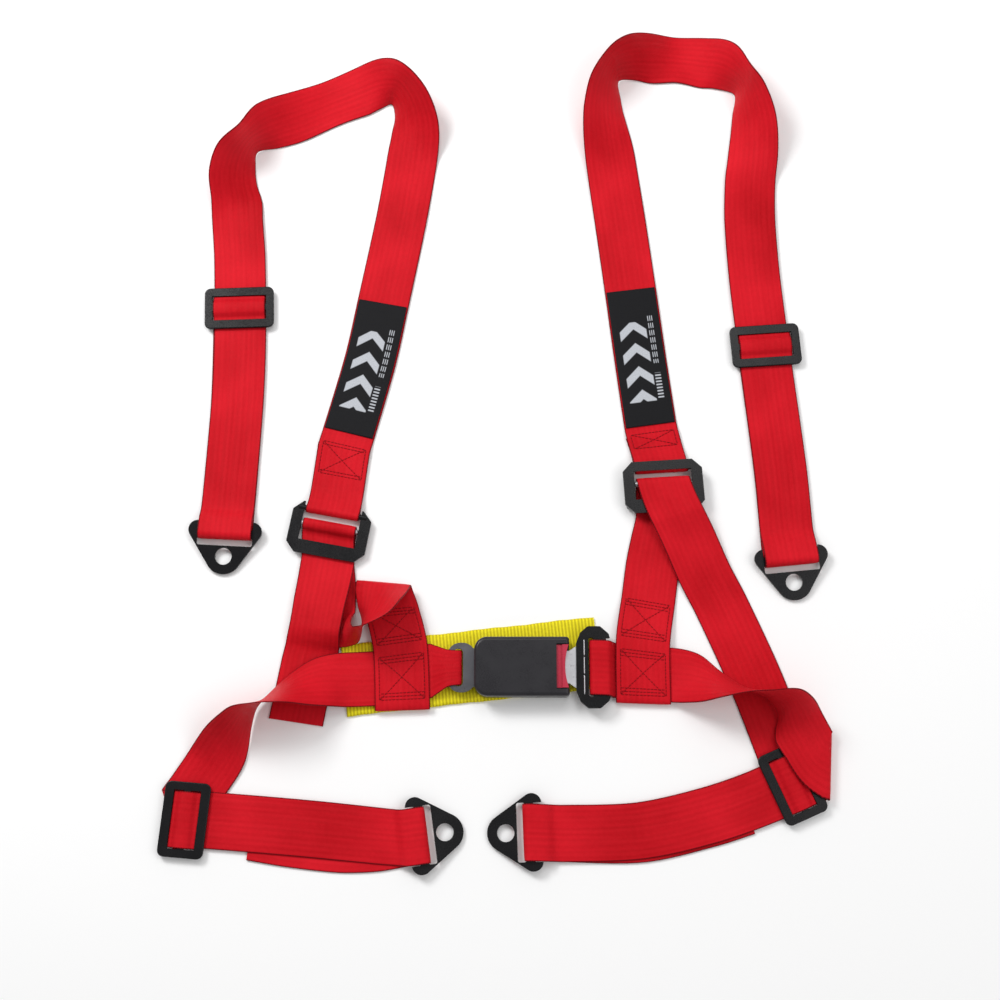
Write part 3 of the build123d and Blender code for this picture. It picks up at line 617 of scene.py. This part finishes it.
# the pad's ribs and threads, in metres
RIB_PITCH = 0.0032
PAD_THREAD = 0.0011


def new_material(name):
    """A material with its shader and helpers that add nodes and link them."""
    mat = bpy.data.materials.new(name)
    mat.use_nodes = True
    tree = mat.node_tree
    shader = tree.nodes["Principled BSDF"]

    def add(kind, inputs=(), **settings):
        node = tree.nodes.new(kind)
        for key, value in settings.items():
            setattr(node, key, value)
        for socket, value in dict(inputs).items():
            target = node.inputs[socket]
            if isinstance(value, bpy.types.NodeSocket):
                tree.links.new(value, target)
            else:
                target.default_value = value
        return node

    def link(a, b):
        tree.links.new(a, shader.inputs[b])

    return mat, shader, add, link


def maths(add, operation, a, b=0.0, c=0.0):
    """A maths node's result; each input is a number or a socket."""
    return add("ShaderNodeMath", {0: a, 1: b, 2: c}, operation=operation).outputs[0]


def mix_colour(add, factor, a, b):
    """A mix of two colours or sockets; 0, 6 and 7 are the mix node's factor and its two colours."""
    return add("ShaderNodeMix", {0: factor, 6: a, 7: b}, data_type="RGBA").outputs[2]


def wave(add, value, pitch):
    """A sine that repeats each time the value grows by the pitch."""
    return maths(add, "SINE", maths(add, "MULTIPLY", value, 2 * math.pi / pitch))


def part_of(add, value, pitch):
    """How far the value is through its present pitch, from 0 to 1."""
    return maths(add, "FRACT", maths(add, "DIVIDE", value, pitch))


def noise_at(add, where, scale, detail, roughness=0.5):
    """Noise with one scale along every axis."""
    return add("ShaderNodeTexNoise", {"Vector": where, "Scale": scale, "Detail": detail,
                                      "Roughness": roughness}).outputs[0]


def stretched_noise(add, where, scales, detail):
    """Noise with its own scale along each axis."""
    mapped = add("ShaderNodeMapping", {"Vector": where, "Scale": scales}).outputs[0]
    return noise_at(add, mapped, 1.0, detail)


def vary(add, noise, weight, onto):
    """A value with a noise's swing about its middle added to it."""
    return maths(add, "MULTIPLY_ADD", maths(add, "SUBTRACT", noise, 0.5), weight, onto)


def bump_normal(add, height, strength, distance):
    """A surface normal bumped by a height; the distance is in metres."""
    return add("ShaderNodeBump", {"Height": height, "Strength": strength, "Distance": distance}).outputs[0]


def strip_axes(add):
    """A strip's UVs in metres: both together, the distance across from its middle, and the length along."""
    uv = add("ShaderNodeUVMap", uv_map="strip").outputs[0]
    split = add("ShaderNodeSeparateXYZ", {0: uv})
    return uv, split.outputs[0], split.outputs[1]


def webbing_material(name, light, dark, edge):
    """Woven strap: a herringbone weave, faint lengthwise ribs, a dotted selvedge, and broad bands of painted
    satin shade and highlight.
    """
    mat, shader, add, link = new_material(name)
    uv, u, v = strip_axes(add)
    ribs = wave(add, u, WEAVE_RIB)
    # herringbone: rows slope one way in one rib and the other way in the next
    slope = maths(add, "PINGPONG", u, WEAVE_RIB)
    rows = wave(add, maths(add, "ADD", v, maths(add, "MULTIPLY", slope, 0.9)), WEAVE_ROW)
    cell = maths(add, "MULTIPLY", rows, wave(add, u, WEAVE_YARN))
    noise = noise_at(add, uv, 260.0, 4.0, 0.6)
    streaks = stretched_noise(add, uv, (420.0, 14.0, 1.0), 3.0)
    # broad: painted satin shade and highlight, laid on the colour in long soft bands
    broad = stretched_noise(add, uv, (13.0, 11.0, 1.0), 2.0)
    # the tone goes from dark to light: ribs, weave, streaks, speckle, and broad bands of painted satin shade
    # and highlight
    tone = maths(add, "MULTIPLY_ADD", ribs, 0.05, 0.52)
    tone = maths(add, "MULTIPLY_ADD", cell, 0.10, tone)
    tone = vary(add, streaks, 0.35, tone)
    tone = vary(add, noise, 0.35, tone)
    tone = vary(add, broad, 1.5, tone)
    body = mix_colour(add, add("ShaderNodeClamp", {0: tone}).outputs[0], dark, light)
    # the selvedge: a dark line with dots
    near_edge = add("ShaderNodeMapRange", {0: maths(add, "ABSOLUTE", u), 1: SELVEDGE_INNER,
                                           2: SELVEDGE_OUTER}).outputs[0]
    dots = add("ShaderNodeMapRange", {0: wave(add, v, SELVEDGE_DOT), 1: -0.8, 2: 0.5, 3: 0.6, 4: 0.9})
    link(mix_colour(add, maths(add, "MULTIPLY", near_edge, dots.outputs[0]), body, edge), "Base Color")
    link(maths(add, "MULTIPLY_ADD", noise, 0.25, 0.36), "Roughness")
    shader.inputs["Sheen Weight"].default_value = 0.03
    shader.inputs["Sheen Tint"].default_value = (1.0, 0.3, 0.3, 1.0)
    shader.inputs["Specular IOR Level"].default_value = 0.16
    shader.inputs["Specular Tint"].default_value = (1.0, 0.35, 0.35, 1.0)
    height = maths(add, "MULTIPLY_ADD", ribs, 0.2, maths(add, "MULTIPLY", cell, 0.5))
    height = maths(add, "MULTIPLY_ADD", noise, 0.4, height)
    link(bump_normal(add, height, 0.35, 0.0004), "Normal")
    return mat


def satin_material(name, light, dark, roughness, metallic=0.0, grain=900.0, bump=0.08, scratch=0.0,
                   gloss=0.5):
    """Moulded plastic, thread, coated or plated metal: an uneven colour, fine grain and worn gloss."""
    mat, shader, add, link = new_material(name)
    where = add("ShaderNodeTexCoord").outputs["Object"]
    broad = noise_at(add, where, 45.0, 4.0)
    fine = noise_at(add, where, grain, 3.0, 0.65)
    link(mix_colour(add, broad, (*dark, 1), (*light, 1)), "Base Color")
    rough = vary(add, broad, 0.25, vary(add, fine, 0.3, roughness))
    if scratch:
        lines = stretched_noise(add, where, (40.0, 1400.0, 1400.0), 2.0)
        rough = maths(add, "MULTIPLY_ADD", lines, scratch, rough)
    link(rough, "Roughness")
    shader.inputs["Metallic"].default_value = metallic
    shader.inputs["Specular IOR Level"].default_value = gloss
    link(bump_normal(add, fine, bump, 0.0003), "Normal")
    return mat


def label_material(name):
    """Woven black label with a generic silver design: chevrons, broken fine lines and a row of ticks."""
    mat, shader, add, link = new_material(name)
    uv, u, v = strip_axes(add)

    def band(value, low, high, soft=0.0004):
        """1 where the value is between low and high, with soft edges, and 0 elsewhere."""
        rise = add("ShaderNodeMapRange", {0: value, 1: low - soft, 2: low + soft}).outputs[0]
        fall = add("ShaderNodeMapRange", {0: value, 1: high - soft, 2: high + soft, 3: 1.0, 4: 0.0})
        return maths(add, "MULTIPLY", rise, fall.outputs[0])

    slant = maths(add, "MULTIPLY_ADD", maths(add, "ABSOLUTE", maths(add, "ADD", u, 0.003)), 0.8, v)
    chevrons = band(part_of(add, slant, CHEVRON_PITCH), 0.12, 0.52, 0.02)
    chevrons = maths(add, "MULTIPLY", chevrons, band(u, -0.0175, 0.0105))
    chevrons = maths(add, "MULTIPLY", chevrons, band(v, 0.024, 0.106))
    column = band(u, 0.0125, 0.0185)
    fine = maths(add, "MULTIPLY", band(part_of(add, u, FINE_LINE_PITCH), 0.3, 0.7, 0.1), column)
    fine = maths(add, "MULTIPLY", fine, band(part_of(add, v, DASH_PITCH), 0.1, 0.8, 0.05))
    fine = maths(add, "MULTIPLY", fine, band(v, 0.062, 0.112))
    ticks = maths(add, "MULTIPLY", band(part_of(add, v, TICK_PITCH), 0.2, 0.65, 0.08), column)
    ticks = maths(add, "MULTIPLY", ticks, band(v, 0.026, 0.052))
    mask = maths(add, "MAXIMUM", chevrons, maths(add, "MAXIMUM", fine, ticks))
    noise = noise_at(add, uv, 900.0, 3.0)
    weave = maths(add, "MULTIPLY", wave(add, v, LABEL_THREAD), wave(add, u, LABEL_THREAD))
    black = mix_colour(add, noise, (0.003, 0.003, 0.004, 1), (0.010, 0.010, 0.012, 1))
    silver = mix_colour(add, noise, (0.36, 0.38, 0.42, 1), (0.62, 0.64, 0.68, 1))
    link(mix_colour(add, mask, black, silver), "Base Color")
    shader.inputs["Roughness"].default_value = 0.6
    shader.inputs["Specular IOR Level"].default_value = 0.15
    height = maths(add, "MULTIPLY_ADD", mask, 0.8, maths(add, "MULTIPLY", weave, 0.5))
    link(bump_normal(add, height, 0.35, 0.0003), "Normal")
    return mat


def pad_material(name):
    """Ribbed yellow webbing, its ribs running across it, with painted shade making it darker between them."""
    mat, shader, add, link = new_material(name)
    uv, u, v = strip_axes(add)
    rib = wave(add, v, RIB_PITCH)
    thread = wave(add, u, PAD_THREAD)
    noise = noise_at(add, uv, 420.0, 4.0)
    # painted shade: the rib wave darkens the colour in the grooves between the ribs
    tone = maths(add, "MULTIPLY_ADD", rib, 0.32, 0.62)
    tone = maths(add, "MULTIPLY_ADD", thread, 0.08, tone)
    tone = add("ShaderNodeClamp", {0: vary(add, noise, 0.5, tone)}).outputs[0]
    link(mix_colour(add, tone, (0.40, 0.31, 0.002, 1), (0.93, 0.82, 0.018, 1)), "Base Color")
    shader.inputs["Roughness"].default_value = 0.62
    shader.inputs["Specular IOR Level"].default_value = 0.15
    height = maths(add, "MULTIPLY_ADD", rib, 0.6, maths(add, "MULTIPLY", thread, 0.2))
    height = maths(add, "MULTIPLY_ADD", noise, 0.4, height)
    link(bump_normal(add, height, 0.4, 0.0005), "Normal")
    return mat


RED = webbing_material("red_webbing", light=(0.74, 0.012, 0.024, 1), dark=(0.40, 0.002, 0.006, 1),
                       edge=(0.06, 0.002, 0.004, 1))
LABEL = label_material("woven_label")
PAD = pad_material("yellow_pad")
THREAD = satin_material("red_thread", (0.34, 0.003, 0.009), (0.24, 0.002, 0.006), roughness=0.5,
                        grain=2500.0, gloss=0.2)
BLACK_METAL = satin_material("black_coating", (0.007, 0.007, 0.008), (0.004, 0.004, 0.005), roughness=0.27,
                             grain=700.0, bump=0.1, gloss=0.26)
STEEL = satin_material("zinc_steel", (0.72, 0.72, 0.74), (0.58, 0.58, 0.61), roughness=0.24,
                       metallic=1.0, grain=500.0, scratch=0.25)
GREY_STEEL = satin_material("grey_steel", (0.15, 0.15, 0.165), (0.09, 0.09, 0.10), roughness=0.36,
                            metallic=0.75, grain=500.0)
CASE_GREY = satin_material("case_grey", (0.024, 0.023, 0.027), (0.016, 0.015, 0.018), roughness=0.3,
                           grain=1600.0, bump=0.2, gloss=0.3)
CASE_BLACK = satin_material("case_black", (0.006, 0.006, 0.007), (0.004, 0.004, 0.005), roughness=0.25,
                            grain=1600.0, gloss=0.35)
BUTTON_RED = satin_material("button_red", (0.52, 0.025, 0.06), (0.42, 0.018, 0.045), roughness=0.28,
                            gloss=0.4)
GRIP_BLACK = satin_material("grip_black", (0.006, 0.006, 0.007), (0.004, 0.004, 0.005), roughness=0.26,
                            grain=1500.0, bump=0.15, gloss=0.26)
WHITE_PLASTIC = satin_material("white_plastic", (0.72, 0.72, 0.68), (0.62, 0.62, 0.6), roughness=0.4)

# ---------------------------------------------------------------- straps

ROOT, RIGHT = "buckle_half", "tongue_half"


def strap(name, stations, body, nodes, ripple=0.0, joins=None,
          material=RED, thickness=WEBBING_THICKNESS, width=WEBBING_WIDTH, step=RUN_STEP):
    """Builds a strip, puts it on its body, or leaves it in the frame when joins is given, and hides the CAD
    nodes it stands for.
    """
    run = Run(stations, width, step)
    obj = strip_piece(name, run, thickness, material, ripple)
    if joins:
        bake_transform(obj)
    else:
        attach(obj, body)
    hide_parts(*nodes)
    return run


left_rear_run = strap("left_rear_webbing", LEFT_REAR_STRAP, ROOT, ["left_rear_strap"], REAR_RIPPLE)
right_rear_run = strap("right_rear_webbing", RIGHT_REAR_STRAP, RIGHT, ["right_rear_strap"], REAR_RIPPLE)
strap("left_lap_webbing", LEFT_LAP_STRAP, ROOT, ["left_lap_strap"], LAP_RIPPLE)
strap("right_lap_webbing", RIGHT_LAP_STRAP, RIGHT, ["right_lap_strap"], LAP_RIPPLE)

# each front strap is one length of webbing with its turn round the adjuster's grip bar and its tail
left_turn = in_place(ADJUSTER_WEBBING["left"], ADJUSTER_PLACES["left"], flip=True)
left_front_run = strap(
    "left_front_webbing", LEFT_FRONT_STRAP[::-1] + left_turn[::-1] + LEFT_TAIL, None,
    ["left_front_strap", "left_adjuster_bight", "left_tail"],
    joins=(ROOT, "left_adjuster", place(-163, -150), place(-160, -121)))
right_turn = in_place(ADJUSTER_WEBBING["right"], ADJUSTER_PLACES["right"])
right_front_run = strap(
    "right_front_webbing", RIGHT_FRONT_STRAP[::-1] + right_turn + RIGHT_TAIL, None,
    ["right_front_strap", "right_adjuster_bight", "right_tail"],
    joins=(RIGHT, "right_adjuster", place(158, -118), place(158, -82)))

for side, stations, body in (("left", LEFT_LABEL, ROOT), ("right", RIGHT_LABEL, RIGHT)):
    strap(side + "_woven_label", stations, body, [side + "_label"],
          material=LABEL, thickness=LABEL_THICKNESS,
          width=LABEL_WIDTH)
for end, spot in SLIDE_PLACES.items():
    strap(end + "_slide_webbing", in_place(SLIDE_BIGHT, spot, SLIDE_BOTTOM), end + "_slider",
          [end + "_bight"], step=BIGHT_STEP)

# ---------------------------------------------------------------- sewing

def sew(name, run, start, end, body, rows):
    """Sews a box with a cross on a strip, from one point of the layout to another along its middle."""
    first, last = run.nearest(start), run.nearest(end)
    side = 1 if run.at((first + last) / 2, 0)[1].z > 0 else -1
    obj = sewing(name, run, box_cross(first, last, rows), side)
    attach(obj, body)


sew("left_patch_sewing", left_front_run, (-88.5, -259, 6.7), (-90.8, -218, 6.7), ROOT, rows=3)
sew("left_upper_sewing", left_front_run, (-91.4, -206, 6.7), (-100, -174, 6.7), ROOT, rows=3)
sew("right_patch_sewing", right_front_run, (135, -255, 6.5), (135.5, -214, 6.5), RIGHT, rows=3)
sew("right_upper_sewing", right_front_run, (136, -202, 6.5), (141.7, -166, 2.0), RIGHT, rows=3)
sew("left_rear_sewing", left_rear_run, (-146.5, -13, 2.6), (-151, -45, 2.6), ROOT, rows=2)
sew("right_rear_sewing", right_rear_run, (149, -1, 2.6), (152.5, -15, 2.6), RIGHT, rows=1)

# ---------------------------------------------------------------- pad

PAD_ROW = 0.8
PAD_COLUMNS = 20
PAD_END_TAPER = 3.0
PAD_RIB_RISE = 0.28


def rib_pad():
    """The yellow pad: a flat tube of ribbed webbing, fuller in the middle, its ribs crossing it."""
    rows = int(PAD_LENGTH / PAD_ROW)
    verts, uvs = [], []
    for i in range(rows + 1):
        along = -PAD_LENGTH / 2 + PAD_LENGTH * i / rows
        rib = 0.5 + 0.5 * math.sin(2 * math.pi * along / (RIB_PITCH / MM))
        end = min(1.0, (PAD_LENGTH / 2 - abs(along)) / PAD_END_TAPER)
        # the long edges wander a little
        wobble = 0.5 * math.sin(along * 0.09) + 0.25 * math.sin(along * 0.31)
        half = PAD_WIDTH / 2 - 0.6 + 0.25 * rib + wobble * 0.6
        for top in (True, False):
            for j in range(PAD_COLUMNS + 1):
                across = 2 * (j / PAD_COLUMNS if top else 1 - j / PAD_COLUMNS) - 1
                full = max(0.0, 1 - abs(across) ** 6) ** 0.5 * (0.55 + 0.45 * end)
                rise = 0.25 + (PAD_THICKNESS / 2 - 0.35) * full
                z = PAD_THICKNESS / 2 + (rise + PAD_RIB_RISE * (rib - 0.5) * full if top else -rise)
                verts.append(place(*turned(along, across * half, PAD_PLACE), z))
                uvs.append((across * PAD_WIDTH / 2 * MM, along * MM))
    return mesh_piece("comfort_pad", verts, tube_faces(rows + 1, 2 * (PAD_COLUMNS + 1)), PAD, uvs)


pad = rib_pad()
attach(pad, ROOT)
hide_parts("buckle_pad")

# ---------------------------------------------------------------- hardware

BEVEL_SEGMENTS = 2
BEVEL_ANGLE = 50
KNURL_RINGS = 181
KNURL_AROUND = 48
KNURL_TEETH = 12
KNURL_TWIST = 2.4
KNURL_DEPTH = 0.22
KNURL_INSET = 0.3
KNURL_END = 1.2
SLOT_EDGE_X = 58.0
SLOT_EDGE_Z = 14.45
SLOT_EDGE_LENGTHS = ((-25.5, -7.5), (-6.5, 9.5), (10.5, 25.5))
SLOT_EDGE_STEPS = 24
SLOT_EDGE_AROUND = 10
SLOT_EDGE_HALF_WIDTH = 0.55
SLOT_EDGE_HALF_HEIGHT = 0.35
SPRING_WIRE = 0.7
SPRING_PER_TURN = 20
SPRING_AROUND = 8


def soften(node, width, material):
    """Gives a CAD node its material and small rounded edges."""
    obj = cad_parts[node]
    obj.data.materials.clear()
    obj.data.materials.append(material)
    bevel = obj.modifiers.new("edge", "BEVEL")
    bevel.width = width * MM
    bevel.segments = BEVEL_SEGMENTS
    bevel.limit_method = "ANGLE"
    bevel.angle_limit = math.radians(BEVEL_ANGLE)
    obj.modifiers.new("normals", "WEIGHTED_NORMAL")
    for poly in obj.data.polygons:
        poly.use_smooth = True


def knurled_bar(side):
    """The adjuster's grip bar with its knurling, standing for the plain CAD bar."""
    verts = []
    for i in range(KNURL_RINGS):
        x = -GRIP_BAR_LENGTH / 2 + GRIP_BAR_LENGTH * i / (KNURL_RINGS - 1)
        fade = min(1.0, max(0.0, (GRIP_BAR_LENGTH / 2 - abs(x)) / KNURL_END))
        for k in range(KNURL_AROUND):
            angle = 2 * math.pi * k / KNURL_AROUND
            round_bar, along_bar = angle * KNURL_TEETH, x * KNURL_TWIST
            teeth = math.sin(round_bar + along_bar) * math.sin(round_bar - along_bar)
            radius = GRIP_BAR_RADIUS - KNURL_INSET + KNURL_DEPTH * teeth * fade
            radius *= 0.8 + 0.2 * min(1.0, fade * 1.5)
            y = GRIP_BAR_Y + radius * math.cos(angle)
            z = GRIP_HEIGHTS[side] + radius * math.sin(angle)
            verts.append(place(*turned(x, y, ADJUSTER_PLACES[side]), z))
    obj = mesh_piece(side + "_knurled_bar", verts, tube_faces(KNURL_RINGS, KNURL_AROUND), STEEL)
    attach(obj, side + "_adjuster")
    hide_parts(side + "_grip_bar")


def in_buckle(x, y, z):
    """A point of the buckle's own frame, in millimetres, as a point of the frame."""
    return place(BUCKLE_PLACE[0] + x, BUCKLE_PLACE[1] + y, z)


def slot_edge():
    """A bright line along the grip's belt slot in three lengths, taken to be bare steel at its edge."""
    verts, faces = [], []
    for low, high in SLOT_EDGE_LENGTHS:
        faces += tube_faces(SLOT_EDGE_STEPS + 1, SLOT_EDGE_AROUND, len(verts))
        for i in range(SLOT_EDGE_STEPS + 1):
            y = low + (high - low) * i / SLOT_EDGE_STEPS
            fade = min(1.0, 0.35 + min(i, SLOT_EDGE_STEPS - i) / 3)
            for k in range(SLOT_EDGE_AROUND):
                angle = 2 * math.pi * k / SLOT_EDGE_AROUND
                verts.append(in_buckle(SLOT_EDGE_X + SLOT_EDGE_HALF_WIDTH * fade * math.cos(angle), y,
                                       SLOT_EDGE_Z + SLOT_EDGE_HALF_HEIGHT * fade * math.sin(angle)))
    obj = mesh_piece("slot_edge", verts, faces, STEEL)
    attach(obj, RIGHT)


def spring(name, x, y, z, along_x, radius, length, turns):
    """A compression spring that starts at a point of the buckle's own frame and goes along +X or up."""
    verts = []
    steps = turns * SPRING_PER_TURN
    for i in range(steps + 1):
        angle = 2 * math.pi * i / SPRING_PER_TURN
        for k in range(SPRING_AROUND):
            turn = 2 * math.pi * k / SPRING_AROUND
            reach = radius + SPRING_WIRE / 2 * math.cos(turn)
            rise = length * i / steps + SPRING_WIRE / 2 * math.sin(turn)
            p = (reach * math.cos(angle), reach * math.sin(angle), rise)
            dx, dy, dz = (p[2], p[0], p[1]) if along_x else p
            verts.append(in_buckle(x + dx, y + dy, z + dz))
    obj = mesh_piece(name, verts, tube_faces(steps + 1, SPRING_AROUND), STEEL)
    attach(obj, ROOT)
    return obj


slot_edge()
for side in ADJUSTER_PLACES:
    knurled_bar(side)
    soften(side + "_adjuster_frame", 0.5, BLACK_METAL)
for end in SLIDE_PLACES:
    soften(end + "_slide", 0.4, BLACK_METAL)
    soften(end + "_anchor", 0.5, BLACK_METAL)
for node, edge, material in (
    ("buckle_upper_case", 0.25, CASE_GREY),
    ("buckle_lower_case", 0.3, CASE_BLACK),
    ("buckle_frame", 0.4, GREY_STEEL),
    ("press_button", 0.35, BUTTON_RED),
    ("tongue_plate", 0.3, STEEL),
    ("tongue_grip", 0.8, GRIP_BLACK),
    ("latch_plate", 0.2, STEEL),
    ("latch_pin", 0.2, STEEL),
    ("ejector", 0.2, WHITE_PLASTIC),
    ("case_screws", 0.05, STEEL),
    ("ejector_spring", 0.05, STEEL),
):
    soften(node, edge, material)

latch_coil = spring("latch_coil", 6, 0, 17.6, along_x=False, radius=2.6, length=2.7, turns=3)
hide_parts("latch_spring")
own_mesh(latch_coil)
button_coils = [spring("button_coil_" + side, 21.7, y, 17.5, along_x=True, radius=2.2, length=6.1, turns=4)
                for side, y in (("lower", -15), ("upper", 15))]
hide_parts("button_springs")
for coil in button_coils:
    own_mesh(coil)

# ---------------------------------------------------------------- floor, light, camera

floor_material, floor_shader, add, link = new_material("floor")
floor_noise = add("ShaderNodeTexNoise", {"Scale": 3.0, "Detail": 2.0}).outputs[0]
link(mix_colour(add, floor_noise, (0.97, 0.97, 0.97, 1), (0.98, 0.98, 0.98, 1)), "Base Color")
floor_shader.inputs["Roughness"].default_value = 0.9
bpy.ops.mesh.primitive_plane_add(size=FLOOR_SIZE, location=(0, 0, -FLOOR_DROP))
floor = bpy.context.object
floor.name = "floor"
floor.data.materials.append(floor_material)

for name, (spot, size, power) in LIGHTS.items():
    light_data = bpy.data.lights.new(name, "AREA")
    light_data.size = size
    light_data.energy = power
    light = bpy.data.objects.new(name, light_data)
    light.location = spot
    light.rotation_euler = (-Vector(spot)).to_track_quat("-Z", "Y").to_euler()
    bpy.context.collection.objects.link(light)

world = bpy.data.worlds.new("studio")
world.use_nodes = True
background = world.node_tree.nodes["Background"]
background.inputs["Color"].default_value = (1.0, 1.0, 1.0, 1)
background.inputs["Strength"].default_value = WORLD_STRENGTH
bpy.context.scene.world = world
bpy.context.scene.view_settings.view_transform = "Standard"
bpy.context.scene.view_settings.look = "None"

camera_data = bpy.data.cameras.new("camera")
camera_data.lens = CAMERA_LENS
camera_data.sensor_width = CAMERA_SENSOR
camera = bpy.data.objects.new("camera", camera_data)
camera.location = place(*CAMERA_SPOT)
aim = place(*CAMERA_TARGET) - place(*CAMERA_SPOT)
camera.rotation_euler = aim.to_track_quat("-Z", "Y").to_euler()
bpy.context.collection.objects.link(camera)
bpy.context.scene.camera = camera
